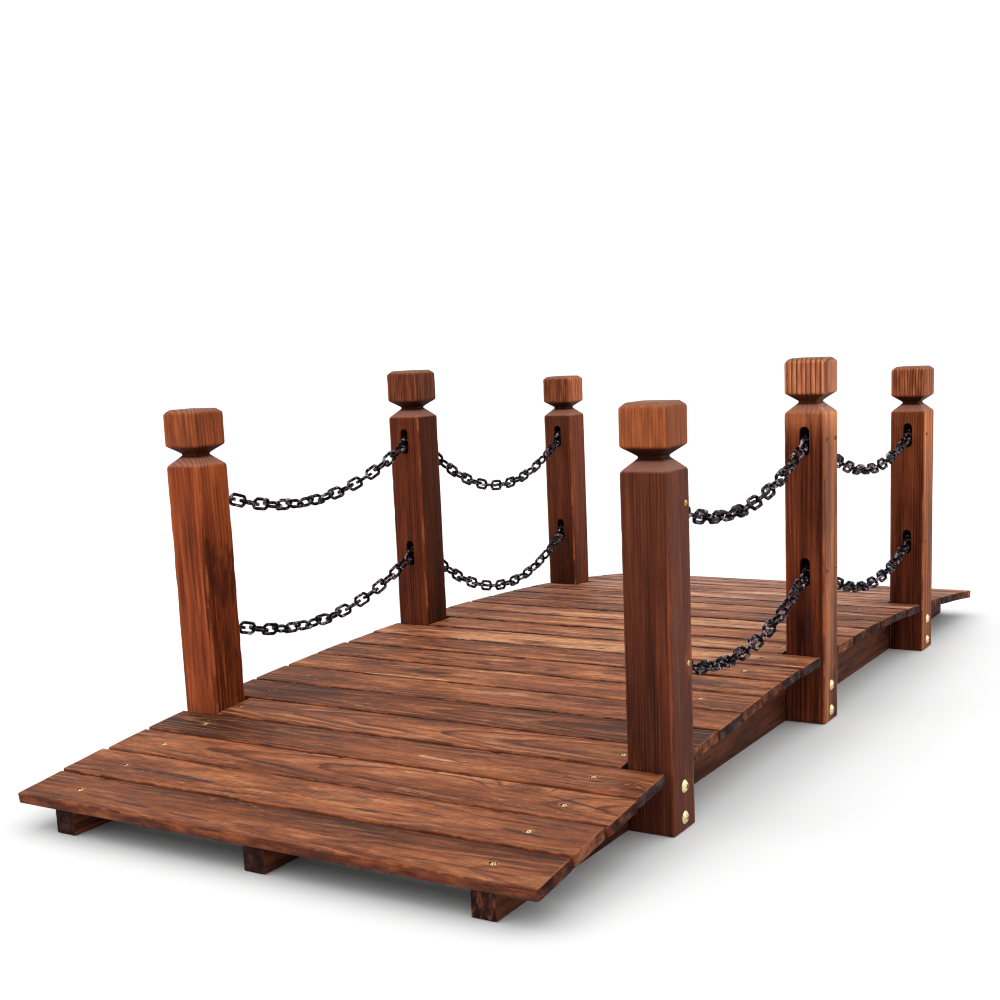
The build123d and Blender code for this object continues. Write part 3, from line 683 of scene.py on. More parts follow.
def board(i):
    q = rng("board shape", i)
    half = DECK_W / 2 if i not in SHORT_BOARDS else SHORT_HALF
    spots = screw_spots(i)
    r = 1.7
    prof = rounded(BOARD_W, BOARD_T, r, 22, 3, 4, 5, extra=[(sw, 4.8, 0.96) for _, sw in spots[:1]] if abs(spots[0][1] - spots[1][1]) < 1.5 else
                   [((spots[0][1] + spots[1][1]) / 2, 4.8 + abs(spots[0][1] - spots[1][1]) / 2, 0.96)])
    st = stations(half, 5.2, extra=[(sl, 5.76, 0.96) for sl, _ in spots])
    n_st, n_p = len(st), len(prof)
    L, P = np.meshgrid(st, np.arange(n_p), indexing="ij")
    W = prof[P, 0].copy()
    T = prof[P, 1].copy()
    # trimmed ends: each board is cut a little short or askew
    skew = q.uniform(-0.012, 0.012)
    trim = {1: -ENDS[i][0], -1: -ENDS[i][1]}
    # rounded ends
    re = 1.1
    dist = half - np.abs(L)
    k = np.where(dist < re, re - np.sqrt(np.maximum(re * re - (re - dist) ** 2, 0)), 0.0)
    W -= np.sign(W) * np.minimum(k, np.abs(W)) * (np.abs(W) > BOARD_W / 2 - r - 0.01)
    T -= np.sign(T) * k * (np.abs(T) > BOARD_T / 2 - r - 0.01)
    # worn plan corners
    for sl in (1, -1):
        for sw in (1, -1):
            rc = q.uniform(1.2, 4.2)
            m = (np.sign(L) == sl) & (np.sign(W) == sw) & (dist < rc)
            cut = rc - np.sqrt(np.maximum(rc * rc - (rc - dist) ** 2, 0))
            weight = smooth(BOARD_W / 2 - 7, BOARD_W / 2 - 0.5, np.abs(W))
            W = np.where(m, W - sw * cut * weight, W)
    # wandering long edges, chips and dents
    for sw in (1, -1):
        wob = fbm(st * 0.011, sw * 3.3, i * 1.7, 5, 3) * 1.25 + fbm(st * 0.06, sw * 5.1, i * 2.9, 9, 2) * 0.35
        wgt = smooth(BOARD_W / 2 - 8, BOARD_W / 2 - 1, np.abs(W)) * (np.sign(W) == sw)
        W += sw * wgt * (wob[:, None] - 0.1)
        chip = smooth(0.30, 0.62, vnoise(st * 0.055, sw * 7.7, i * 3.1, 21)) * smooth(-0.2, 0.5, vnoise(st * 0.3, sw * 1.7, i * 1.1, 22))
        edge = wgt * smooth(1.0, 5.0, T)
        W -= sw * edge * chip[:, None] * 1.0
        T -= edge * chip[:, None] * 0.9
    # sawn and slightly cupped top, planed bottom
    cup = q.uniform(-0.25, 0.35)
    topm = smooth(3.0, 5.5, T)
    T -= topm * cup * (W / (BOARD_W / 2)) ** 2
    T += topm * (fbm(L * 0.012, W * 0.05, i * 5.3, 31, 3) * 0.28 - 0.15)
    # torn craters round the screws
    for sl, sw in spots:
        d = np.sqrt((L - sl) ** 2 + (W - sw) ** 2)
        T -= topm * 1.15 * smooth(4.0, 2.9, d)
        T += topm * 0.30 * smooth(6.2, 4.6, d) * smooth(3.2, 4.2, d) * (0.5 + 0.5 * vnoise(L * 0.9, W * 0.9, i, 77))
    L = np.where(L > 0, L - trim[1] * smooth(half - 30, half, L), L + trim[-1] * smooth(half - 30, half, -L))
    L = L - skew * W * smooth(half - 40, half, np.abs(L)) * 1.0
    L += smooth(0.6, 0.0, dist) * 0.12 * vnoise(W * 0.8, T * 0.8, i, 55)
    phi = PHI[i]
    lift = q.uniform(0.0, 0.35)
    R = RC + T + lift
    X = R * sin(phi) + W * cos(phi)
    Z = ARCH_ZC + R * cos(phi) - W * sin(phi)
    verts = np.stack([X, L, Z], -1).reshape(-1, 3)
    name = "deck_plank_%02d" % (i + 1)
    ob = make_mesh(name, verts, tube_faces(n_st, n_p))
    ob.data.materials.append(deck_material(i))
    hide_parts("deck_board_%02d" % (i + 1))
    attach(ob, "root")
    return ob


for i in range(N_BOARDS):
    board(i)


# ------------------------------------------------------------------ stringers
def stringer(side, y_mid):
    q = rng("stringer", side)
    r_top = ARCH_R - BOARD_T - 0.05
    st = stations(STRINGER_HALF_L, 9.0)
    r = 1.5
    base = rounded(STRINGER_T, 2.0, 0.9999, 7, 2, 4, 7)
    n_p = len(base)
    verts = []
    for x in st:
        z_top = ARCH_ZC + sqrt(r_top * r_top - x * x)
        d = STRINGER_HALF_L - abs(x)
        k = 0.9 - sqrt(max(0.81 - (0.9 - d) ** 2, 0)) if d < 0.9 else 0.0
        for (u, v) in rounded(STRINGER_T, z_top, r, 7, 9, 4, 7):
            uu = u - (k if u > 0 else -k) * (abs(u) > STRINGER_T / 2 - r - 0.01)
            vv = v - (k if v > 0 else -k) * (abs(v) > z_top / 2 - r - 0.01)
            n = float(fbm(x * 0.01, vv * 0.03, u + 7 * y_mid, 41, 3)) * 0.25
            verts.append((x, y_mid + uu - (n + 0.25) * np.sign(u) * (abs(u) > STRINGER_T / 2 - 0.2), max(vv + z_top / 2, 0.0)))
        n_p = len(verts) // (list(st).index(x) + 1)
    ob = make_mesh("stringer_beam_" + side, np.array(verts), [tuple(reversed(f)) for f in tube_faces(len(st), n_p)])
    sg = 0.50 if side == "right" else 0.80
    p = dict(seed=40 + y_mid * 0.01, pith=(q.uniform(-20, 60), q.choice((-1, 1)) * 60), ring=4.4, taper=0.006, wander=8, late=0.5, streak_l=0.005, fibre_l=0.012, mottle=0.10,
             tones=[seen(40, 22, 18, sg), seen(70, 38, 29, sg), seen(104, 58, 42, sg), seen(132, 78, 54, sg), seen(164, 104, 72, sg)], contrast=1.5, drift=0.8, tone=0.5,
             late_col=seen(50, 27, 21, sg), warm=seen(150, 80, 48, sg), char_and_sheen=seen(56, 42, 42, sg),
             burnt=seen(50, 28, 23, sg), pale=seen(180, 120, 82, sg), fleck=0.2, fibre=0.18, saw=0.35)
    g, l, w, t, col, rough, height, parts = wood("stringer_wood_" + side, (0, y_mid, 40), 0.0, (0, 2, 1), p)
    late, fib = parts[1], parts[3]
    end = g.step(g.facing(0), 0.45, 0.80)
    eg = g.noise(g.comb(y_mid, g.mul(w, 0.07), g.mul(t, 0.07)), 1.0, 4.0, 0.6)
    endcol = g.ramp(eg, [(0.34, seen(38, 26, 26, 0.7)), (0.52, seen(62, 40, 35, 0.7)), (0.66, seen(92, 58, 46, 0.7))])
    if side == "right":
        endcol = g.mix(g.mul(g.step(g.noise(g.comb(3.0, g.mul(w, 0.07), g.mul(t, 0.16)), 1.0, 3.0, 0.6), 0.50, 0.62), 0.6), endcol, seen(150, 82, 50, 0.7))
    endcol = g.mix(g.mul(late, 0.3), endcol, seen(30, 19, 19, 0.7))
    col = g.mix(end, col, endcol)
    height = g.mul(height, g.mixf(g.step(g.facing(0), 0.30, 0.60), 1.0, 0.12))
    ob.data.materials.append(g.finish(col, g.mixf(end, rough, 0.8), height, bump=0.5, dist=0.0006, spec=SPEC_DECK))
    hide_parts("stringer_" + side)
    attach(ob, "root")


for side, y_mid in (("left", 263.5), ("middle", 0.0), ("right", -263.5)):
    stringer(side, y_mid)


# ------------------------------------------------------------------ posts
PG = 0.82                                          # base colour over the tone seen, for upright faces
POST_MEAN = (100, 52, 36)
# faces: the tone of each face, partly its stain and partly painted light and shade
POST = {}
common = dict(tones=[seen(44, 21, 17, PG), seen(72, 36, 26, PG), seen(100, 52, 36, PG), seen(128, 70, 46, PG), seen(160, 98, 66, PG)], tone=0.5, contrast=1.3, drift=0.5,
              streak_w=0.09, streak_l=0.005, fibre_l=0.012, mottle=0.08, ring=2.6, taper=0.004, wander=4.0, wander_l=0.0026, jig=0.8, late=0.62, late_from=0.45, late_col=seen(52, 24, 18, PG), early=0.15, fibre=0.22,
              warm=seen(158, 80, 46, PG), char_and_sheen=seen(48, 30, 32, PG), burnt=seen(44, 22, 18, PG), pale=seen(196, 130, 86, PG), fleck=0.15, saw=0.10,
              saw_bump=0.2, pin=0.35, pin_l=0.003, spin=0.45, spin_at=0.64, spin_l=0.006, spin_w=0.2, streak_warm=0.35, rough=(0.42, 0.62))
POST["near_right"] = dict(common, seed=61, pith=(-150, -120), ring=3.1, late=0.30, contrast=0.75, fibre=0.15, pin=0.15, spin=0.2, corner_k=0.4, corner=seen(140, 76, 50, PG), areas=[(230, -6, 150, 13, -0.10), (90, 0, 100, 60, -0.12)], marks=[(372, -4, 190, -3, 4.0, 0.15, "burnt"), (300, -24, 60, -24, 1.5, 0.6, "warm")],
                          faces=dict(nx=(91, 48, 35), ny=(95, 51, 37), px=(96, 52, 38), py=(92, 48, 34)), cap_light=seen(177, 97, 58, PG), cap_dark=seen(146, 79, 48, PG), cap_mix=0.92, cap_late=0.25, cap_side=0.74)
POST["middle_right"] = dict(common, seed=62, pith=(-230, 14), ring=6.0, late=0.85, late_from=0.35, wander=7.0, jig=1.2, late_col=seen(52, 24, 18, PG),
                            areas=[(402, 6, 30, 40, 0.74), (290, 0, 70, 60, -0.12), (30, 0, 70, 60, -0.12), (122, 12, 46, 26, -0.38)], faces=dict(nx=(106, 52, 34), ny=(146, 86, 58), px=(104, 56, 38), py=(98, 52, 36)), cap_mix=0.75, cap_light=seen(240, 152, 106, PG), cap_dark=seen(188, 110, 76, PG), cap_late=0.85, cap_line=seen(66, 34, 27, PG), cap_side=0.70)
POST["far_right"] = dict(common, seed=63, pith=(-190, -60), ring=4.0, late=0.6, areas=[(340, 0, 80, 60, 0.22), (60, 0, 100, 60, -0.10)], faces=dict(nx=(90, 43, 28), ny=(146, 80, 47), px=(100, 54, 38), py=(92, 48, 34)), cap_mix=0.65, cap_light=seen(205, 122, 82, PG), cap_dark=seen(128, 68, 46, PG), cap_late=0.85, cap_line=seen(60, 31, 24, PG), cap_side=0.72)
POST["near_left"] = dict(common, seed=64, pith=(34, -90), ring=4.4, late=0.42, taper=0.012, wander=9.0, contrast=0.85, areas=[(350, -37, 62, 12, 0.42), (105, -37, 130, 12, -0.58)],
                         faces=dict(nx=(146, 70, 41), ny=(124, 58, 31), px=(112, 60, 40), py=(118, 64, 42)), cap_mix=0.4, spin=0.45,
                         marks=[(300, -24, 150, -22, 3.0, 0.8, "burnt"), (200, -10, 90, -12, 3.0, 0.4, "burnt")])
POST["middle_left"] = dict(common, seed=65, pith=(-140, -110), ring=3.6, areas=[(330, 0, 110, 60, 0.16), (330, -37, 90, 12, 0.20), (70, -37, 90, 12, -0.16)], faces=dict(nx=(88, 41, 28), ny=(66, 31, 20), px=(90, 48, 34), py=(98, 54, 38)), cap_mix=0.4, cap_late=0.4)
POST["far_left"] = dict(common, seed=66, pith=(-150, -90), ring=3.6, areas=[(330, 0, 120, 60, 0.26), (230, 0, 90, 60, 0.10)], faces=dict(nx=(70, 34, 24), ny=(103, 51, 33), px=(92, 50, 36), py=(96, 54, 38)), cap_mix=0.6, cap_light=seen(178, 104, 68, PG), cap_dark=seen(112, 60, 42, PG), cap_side=2.3)


def post_rings(shaft):
    # (z, half size) up the post, then the corner radius of the square section there
    a, n, c = POST_S / 2, NECK_S / 2, POST_S / 2
    z1, z2 = shaft, shaft + SHOULDER_H
    z3 = z2 + NECK_H
    z4 = z3 + FLARE_H
    z5 = z4 + CAP_H
    z6 = z5 + CAP_RISE
    pr = [(0.0, a - 0.9), (0.35, a - 0.3), (1.0, a)]
    for k in range(1, int(shaft / 4.2)):
        pr.append((k * 4.2 + 0.5, a))
    pr = [v for v in pr if v[0] < z1 - 2.4]

    def bend(p0, p1, p2, reach):
        # round the corner p1 of the outline over a given reach
        def unit(u, v):
            d = hypot(v[0] - u[0], v[1] - u[1])
            return ((v[0] - u[0]) / d, (v[1] - u[1]) / d)
        d0, d1 = unit(p1, p0), unit(p1, p2)
        s, e = (p1[0] + d0[0] * reach, p1[1] + d0[1] * reach), (p1[0] + d1[0] * reach, p1[1] + d1[1] * reach)
        out = []
        for k in range(5):
            f = k / 4
            out.append(tuple((1 - f) ** 2 * s[j] + 2 * f * (1 - f) * p1[j] + f * f * e[j] for j in (0, 1)))
        return out

    corners = [(0.0, a), (z1, a), (z2, n), (z3, n), (z4, c), (z5, c), (z6, c - CAP_INSET), (z6, 0.0)]
    reach = [0, 2.2, 0.8, 0.8, 1.8, 2.0, 1.6, 0]
    for k in range(1, 7):
        prev = pr[-1]
        seg = bend(corners[k - 1], corners[k], corners[k + 1], reach[k])
        gap = hypot(seg[0][0] - prev[0], seg[0][1] - prev[1])
        n_in = int(gap / 3.6)
        for j in range(1, n_in + 1):
            f = j / (n_in + 1)
            pr.append((prev[0] + (seg[0][0] - prev[0]) * f, prev[1] + (seg[0][1] - prev[1]) * f))
        pr += seg
    top = pr[-1]
    for f in (0.75, 0.5, 0.25):
        pr.append((z6 + 0.25 * (1 - f), top[1] * f))
    return pr


def square_loop(a, rad, n_side=11, n_arc=4):
    # closed loop round a square of half size a with corner radius rad, anticlockwise
    pts = []
    rad = min(rad, a * 0.6)
    for k in range(4):
        ang = k * pi / 2
        ca, sa = cos(ang), sin(ang)
        run = [(a, v) for v in np.linspace(-a + rad, a - rad, n_side)]
        arc = [(a - rad + rad * cos(v), a - rad + rad * sin(v)) for v in (pi / 2 * j / n_arc for j in range(1, n_arc))]
        for x, y in run + arc:
            pts.append((x * ca - y * sa, x * sa + y * ca))
    return pts


def slot_cutter(direction, zs, q):
    # upright obround prism with slightly flared mouth
    verts, n = [], 14
    face = direction * POST_S / 2
    zc, h = zs + (SLOT_UP - SLOT_DOWN) / 2, SLOT_UP + SLOT_DOWN
    for depth, grow in ((1.6, 0.95), (0.0, 0.45), (-0.9, 0.05), (-SLOT_DEPTH, 0.0)):
        rr = SLOT_W / 2 + grow
        for k in range(2 * n + 2):
            upper = k <= n
            a = pi * k / n if upper else pi + pi * (k - n - 1) / n
            cz = zc + (h - SLOT_W) / 2 if upper else zc - (h - SLOT_W) / 2
            verts.append((face + direction * depth, rr * cos(a), cz + rr * sin(a)))
    n_p = 2 * n + 2
    faces = tube_faces(4, n_p)
    return np.array(verts), faces


def post(place, side):
    q = rng("post", place, side)
    key = place + "_" + side
    out = -1 if side == "right" else 1
    cx, cy = POST_X[place], out * POST_Y
    rings = post_rings(SHAFT_H[place])
    shaft = SHAFT_H[place]
    verts = []
    for z, a in rings:
        loop = np.array(square_loop(a, 2.2 if z < shaft else (1.6 if z < shaft + SHOULDER_H + NECK_H + 1 else 2.8)))
        verts.append(np.column_stack([loop, np.full(len(loop), z)]))
    n_p = len(verts[0])
    V = np.array(verts)
    X, Y, Z = V[..., 0].copy(), V[..., 1].copy(), V[..., 2].copy()
    # planed by hand: faces wander a little, corners are nicked
    inner = np.maximum(np.abs(X), np.abs(Y)) > 5
    nx = (fbm(Z * 0.012, Y * 0.03, q.uniform(0, 50), 3, 3) * 0.25 - 0.05) * (np.abs(X) >= np.abs(Y) - 0.1)
    ny = (fbm(Z * 0.012, X * 0.03, q.uniform(0, 50), 4, 3) * 0.25 - 0.05) * (np.abs(Y) >= np.abs(X) - 0.1)
    corner = smooth(0.90, 0.99, np.minimum(np.abs(X), np.abs(Y)) / np.maximum(np.maximum(np.abs(X), np.abs(Y)), 1e-6))
    ck = np.zeros_like(X)
    for sx in (1, -1):
        for sy in (1, -1):
            m = (np.sign(X) == sx) & (np.sign(Y) == sy)
            nick = smooth(0.25, 0.7, vnoise(Z * 0.05, sx * 2.1, sy * 3.7 + q.uniform(0, 9), 6)) * 0.55 + 0.15 * (1 + vnoise(Z * 0.25, sx, sy, 8)) * 0.5
            ck = np.where(m, nick, ck)
    X += np.sign(X) * nx * inner - np.sign(X) * corner * ck
    Y += np.sign(Y) * ny * inner - np.sign(Y) * corner * ck
    V = np.stack([X + cx, Y + cy, Z], -1).reshape(-1, 3)
    ob = make_mesh("post_turned_" + key, V, tube_faces(len(rings), n_p))
    cut_v, cut_f = [], []
    for d in {"near": (1,), "middle": (-1, 1), "far": (-1,)}[place]:
        for zs in SCREW_Z[place]:
            v, f = slot_cutter(d, zs, q)
            if d < 0:
                f = [tuple(reversed(x)) for x in f]
            cut_f += [tuple(j + sum(len(c) for c in cut_v) for j in x) for x in f]
            cut_v.append(v + np.array((cx, cy, 0)))
    cutter = make_mesh("cutter", np.concatenate(cut_v), cut_f)
    mod = ob.modifiers.new("slots", "BOOLEAN")
    mod.operation, mod.solver, mod.object = "DIFFERENCE", "EXACT", cutter
    bpy.context.view_layer.update()
    dg = bpy.context.evaluated_depsgraph_get()
    done = bpy.data.meshes.new_from_object(ob.evaluated_get(dg), depsgraph=dg)
    ob.modifiers.remove(mod)
    old = ob.data
    ob.data = done
    bpy.data.meshes.remove(old)
    bpy.data.objects.remove(cutter)
    done.polygons.foreach_set("use_smooth", [True] * len(done.polygons))
    done.set_sharp_from_angle(angle=radians(34))
    done.materials.clear()
    done.materials.append(post_material(place, side))
    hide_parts("post_" + key)
    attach(ob, "root")
    return ob


def post_material(place, side):
    key = place + "_" + side
    p = POST[key]
    out = -1 if side == "right" else 1
    shaft = SHAFT_H[place]
    # w is across the bridge, t is along it
    g, l, w, t, col, rough, height, parts = wood("post_wood_" + key, (POST_X[place], out * POST_Y, 0), 0.0, (2, 1, 0), p)
    f, late, lateness, fib, fib2, streak, spin, knot = parts
    a = POST_S / 2
    aw, at = g.absf(w), g.absf(t)
    # each face takes its own tint: partly a difference in stain, partly painted light and shade where one side is lit
    # more than another
    z2 = shaft + SHOULDER_H
    mean = seen(*POST_MEAN, 1.0)
    face_stain_and_shade = None
    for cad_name, mask in (("px", g.step(g.sub(t, aw), -3.0, 1.0)), ("nx", g.step(g.sub(g.mul(t, -1.0), aw), -3.0, 1.0)),
                          ("py", g.step(g.sub(w, at), -3.0, 1.0)), ("ny", g.step(g.sub(g.mul(w, -1.0), at), -3.0, 1.0))):
        target = seen(*p["faces"][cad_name], 1.0)
        vec = tuple(tc / mc for tc, mc in zip(target[:3], mean[:3]))
        n = g.node("ShaderNodeVectorMath", operation="SCALE")
        n.inputs[0].default_value = vec
        g.put(n.inputs[3], mask)
        if face_stain_and_shade is None:
            face_stain_and_shade = n.outputs[0]
            total = mask
        else:
            ad = g.node("ShaderNodeVectorMath", operation="ADD")
            g.put(ad.inputs[0], face_stain_and_shade)
            g.put(ad.inputs[1], n.outputs[0])
            face_stain_and_shade = ad.outputs[0]
            total = g.add(total, mask)
    face_stain_and_shade = g.scale_color(face_stain_and_shade, g.div(1.0, g.mx(total, 0.3)))
    mu = g.node("ShaderNodeVectorMath", operation="MULTIPLY")
    g.put(mu.inputs[0], col)
    g.put(mu.inputs[1], face_stain_and_shade)
    col = mu.outputs[0]
    # corners worn to a paler broken line
    corner = g.mul(g.step(aw, a - 3.4, a - 1.4), g.step(at, a - 3.4, a - 1.4))
    cn = g.noise(g.comb(g.mul(l, 0.02), g.mul(w, 0.05), g.mul(t, 0.05)), 1.0, 4.0, 0.65)
    col = g.mix(g.mul(corner, g.step(cn, 0.44, 0.60, 0.10, p.get("corner_k", 0.75))), col, p.get("corner", seen(176, 98, 58, PG)))
    # the cap is a block of its own, a little more orange
    cap = g.step(l, z2 + 6, z2 + 14)
    capn = g.noise(g.comb(g.mul(l, 0.02), g.mul(w, 0.20), g.mul(t, 0.20)), 1.0, 4.0, 0.65)
    capcol = g.mix(g.step(capn, 0.38, 0.62), p.get("cap_dark", seen(104, 56, 38, PG)), p.get("cap_light", seen(172, 102, 66, PG)))
    capcol = g.mix(g.mul(late, p.get("cap_late", 0.6)), capcol, p.get("cap_line", seen(74, 40, 32, PG)))
    # the cap's sides across the bridge are scaled lighter or darker than its other faces: painted light and shade
    capcol = g.scale_color(capcol, g.step(g.sub(aw, at), -1.0, 1.0, 1.0, p.get("cap_side", 1.0)))
    col = g.mix(g.mul(cap, p.get("cap_mix", 0.6)), col, capcol)
    slope = g.mul(g.step(l, shaft - 1.0, shaft + 2.0), g.step(l, z2 - 0.5, z2 - 4.0))
    col = g.mix(g.mul(slope, g.mixf(late, 0.80, 0.30)), col, p.get("slope_col", seen(160, 112, 94, PG)))
    # round the neck and under the flare the wood is painted near black: painted shade
    neck = g.mul(g.step(l, z2 - 4.0, z2 - 0.5), g.step(l, z2 + NECK_H + FLARE_H + 0.5, z2 + NECK_H + FLARE_H - 3.0))
    col = g.mix(g.mul(neck, 0.85), col, seen(36, 20, 16, PG))
    top = g.step(l, z2 + NECK_H + FLARE_H + CAP_H + 0.6, z2 + NECK_H + FLARE_H + CAP_H + 2.2)
    endn = g.noise(g.comb(g.mul(l, 0.3), g.mul(w, 0.45), g.mul(t, 0.45)), 1.0, 3.0, 0.6)
    topcol = g.mix(endn, seen(120, 84, 68, 0.6), seen(190, 142, 112, 0.6))
    topcol = g.mix(g.mul(late, 0.6), topcol, seen(82, 50, 40, 0.6))
    col = g.mix(g.mul(top, 0.85), col, topcol)
    if key == "middle_right":
        # a row of small feed marks left by the planer down the outer face
        s_ = g.absf(g.sub(g.m("FRACT", g.mul(l, 1 / 3.1)), 0.5))
        dots = g.mul(g.step(s_, 0.34, 0.18), g.step(g.absf(g.sub(t, g.add(9.5, g.mul(l, 0.006)))), 1.5, 0.7))
        dots = g.mul(dots, g.mul(g.step(w, -a + 3.0, -a + 1.0), g.mul(g.step(l, 150, 190), g.step(l, 350, 320))))
        col = g.mix(g.mul(dots, 0.7), col, seen(96, 50, 34, PG))
    # inside the slots the wood is painted near black: painted shade of the recess
    inside = g.mul(g.mul(g.step(at, a - 1.0, a - 3.0), g.step(aw, a - 2.0, a - 4.0)), g.mul(g.step(l, 20, 40), g.step(l, shaft - 2, shaft - 6)))
    col = g.mix(g.mul(inside, 0.88), col, srgb(22, 12, 9))
    return g.finish(col, g.mixf(top, rough, 0.75), height, bump=0.45, dist=0.0006, spec=SPEC_POST)


for place in ("near", "middle", "far"):
    for side in ("left", "right"):
        post(place, side)


# ------------------------------------------------------------------ chains
def asinh_(v):
    return log(v + sqrt(v * v + 1)) if v >= 0 else -log(-v + sqrt(v * v + 1))


def hang(x0, z0, x1, z1, length, n):
    dx, dz = x1 - x0, z1 - z0
    target = sqrt(length * length - dz * dz) / dx
    lo, hi = 1e-4, 20.0
    for _ in range(200):
        u = (lo + hi) / 2
        if sinh(u) / u < target:
            lo = u
        else:
            hi = u
    a = dx / (2 * u)
    k = asinh_(dz / (2 * a * sinh(u)))
    xm = (x0 + x1) / 2 - a * k
    zc = z0 - a * cosh((x0 - xm) / a)
    s0 = a * sinh((x0 - xm) / a)
    pts = []
    for i in range(n + 1):
        s = s0 + length * i / n
        t = a * asinh_(s / a)
        pts.append((xm + t, zc + a * cosh(t / a)))
    return pts


def octagon(a, b, c):
    return [(a, b - c), (a - c, b), (-a + c, b), (-a, b - c), (-a, -b + c), (-a + c, -b), (a - c, -b), (a, -b + c)]


def link_mesh(q):
    # one faceted link in its own frame: length on x, width on y, thickness on z
    il = LINK_PITCH + 2 * LINK_GAP
    outer = octagon(il / 2 + WIRE, LINK_W / 2, 5.0)
    inner = octagon(il / 2, LINK_W / 2 - WIRE, 2.0)
    stops = []
    for k in range(8):
        o0, o1 = np.array(outer[k]), np.array(outer[(k + 1) % 8])
        i0, i1 = np.array(inner[k]), np.array(inner[(k + 1) % 8])
        long = hypot(*(o1 - o0)) > 9
        for f in ((0.10, 0.35, 0.65, 0.90) if long else (0.14, 0.5, 0.86)):
            stops.append((o0 + (o1 - o0) * f, i0 + (i1 - i0) * f, f in (0.5, 0.35, 0.65)))
    verts, wear_and_glint = [], []
    h = WIRE / 2
    for o, i_, mid in stops:
        d = o - i_
        ln = hypot(*d)
        u = d / ln
        # section: from the inner point to the outer point, beaten a little thinner here and there
        thin = 1 - 0.10 * q.random()
        shave = 0.30 * q.random()
        e = 0.95
        sec = [(0.0, h - e), (e, h), (ln - e, h), (ln, h - e), (ln, -h + e), (ln - e, -h), (e, -h), (0.0, -h + e)]
        for j, (s, z) in enumerate(sec):
            s2 = s - (shave if j in (2, 3, 4, 5) else 0)
            v = i_ + u * s2
            verts.append((v[0], v[1], z * (thin if mid else 1.0)))
            wear_and_glint.append(0.75 if j in (2, 3, 4, 5) else 0.3)
    n_st, n_p = len(stops), 8
    faces = []
    for s in range(n_st):
        a, b = s * n_p, ((s + 1) % n_st) * n_p
        for p in range(n_p):
            r = (p + 1) % n_p
            faces.append((a + p, a + r, b + r, b + p))
    return np.array(verts), faces, wear_and_glint


def chain_material():
    g = Tree("chain_black")
    tc = g.node("ShaderNodeTexCoord")
    pos = tc.outputs["Object"]
    at = g.node("ShaderNodeAttribute", attribute_name="wear_and_glint")
    n1 = g.noise(pos, 190.0, 3.0, 0.55)
    n2 = g.noise(pos, 900.0, 3.0, 0.6)
    n3 = g.noise(pos, 60.0, 2.0, 0.5)
    # lighter purple-grey patches on the outer faces of the links: painted highlight, partly scuffed paint
    scuff_and_glint = g.step(g.add(g.mul(n1, 0.72), g.mul(n2, 0.28)), 0.515, 0.60)
    scuff_and_glint = g.mul(scuff_and_glint, g.mul(at.outputs["Fac"], g.step(n3, 0.40, 0.60, 0.3, 1.0)))
    col = g.mix(n1, (0.0025, 0.0025, 0.003, 1), (0.007, 0.006, 0.008, 1))
    col = g.mix(g.mul(scuff_and_glint, 0.9), col, srgb(206, 182, 196))
    rough = g.mixf(scuff_and_glint, g.lin(n2, 0.3, 0.7, 0.20, 0.36), 0.52)
    return g.finish(col, rough, g.add(g.mul(n1, 0.7), g.mul(n2, 0.3)), bump=0.5, dist=0.0004, spec=0.02)


CHAIN_MAT = chain_material()
LINKS = {("left", "near"): 20, ("left", "far"): 21, ("right", "near"): 20, ("right", "far"): 20}


def chain(side, bay, level):
    out = -1 if side == "right" else 1
    n = LINKS[(side, bay)]
    lv = 0 if level == "upper" else 1
    if bay == "near":
        xa, za = POST_X["near"] + POST_S / 2 - SCREW_IN, SCREW_Z["near"][lv]
        xb, zb = POST_X["middle"] - POST_S / 2 + SCREW_IN, SCREW_Z["middle"][lv]
    else:
        xa, za = POST_X["middle"] + POST_S / 2 - SCREW_IN, SCREW_Z["middle"][lv]
        xb, zb = POST_X["far"] - POST_S / 2 + SCREW_IN, SCREW_Z["far"][lv]
    ta, tb = radians(-25), radians(25)
    for _ in range(4):
        pts = hang(xa - SCREW_R * cos(ta), za - SCREW_R * sin(ta), xb + SCREW_R * cos(tb), zb + SCREW_R * sin(tb), n * LINK_PITCH, n)
        ta = atan2(pts[1][1] - pts[0][1], pts[1][0] - pts[0][0])
        tb = atan2(pts[-1][1] - pts[-2][1], pts[-1][0] - pts[-2][0])
    extra = 0.0 if n % 2 else 90.0
    V, F, W = [], [], []
    q = rng("chain", side, bay, level)
    count = 0
    for i in range(n):
        (xp, zp), (xq, zq) = pts[i], pts[i + 1]
        tx, tz = xq - xp, zq - zp
        ln = hypot(tx, tz)
        tx, tz = tx / ln, tz / ln
        roll = radians(90.0 * i + extra * i / (n - 1))
        nrm = np.array((sin(roll) * -tz, cos(roll), sin(roll) * tx))
        ax = np.array((tx, 0.0, tz))
        ay = np.cross(nrm, ax)
        c = np.array(((xp + xq) / 2, out * POST_Y, (zp + zq) / 2))
        v, f, wr = link_mesh(q)
        V.append(c + v[:, :1] * ax + v[:, 1:2] * ay + v[:, 2:3] * nrm)
        F += [tuple(j + count for j in x) for x in f]
        W += wr
        count += len(v)
    name = "%s_%s_%s" % (side, bay, level)
    ob = make_mesh("railing_chain_" + name, np.concatenate(V), F, sharp=28.0, attrs={"wear_and_glint": W})
    ob.data.materials.append(CHAIN_MAT)
    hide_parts("chain_" + name)
    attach(ob, "root")


for side, bay in LINKS:
    for level in ("upper", "lower"):
        chain(side, bay, level)


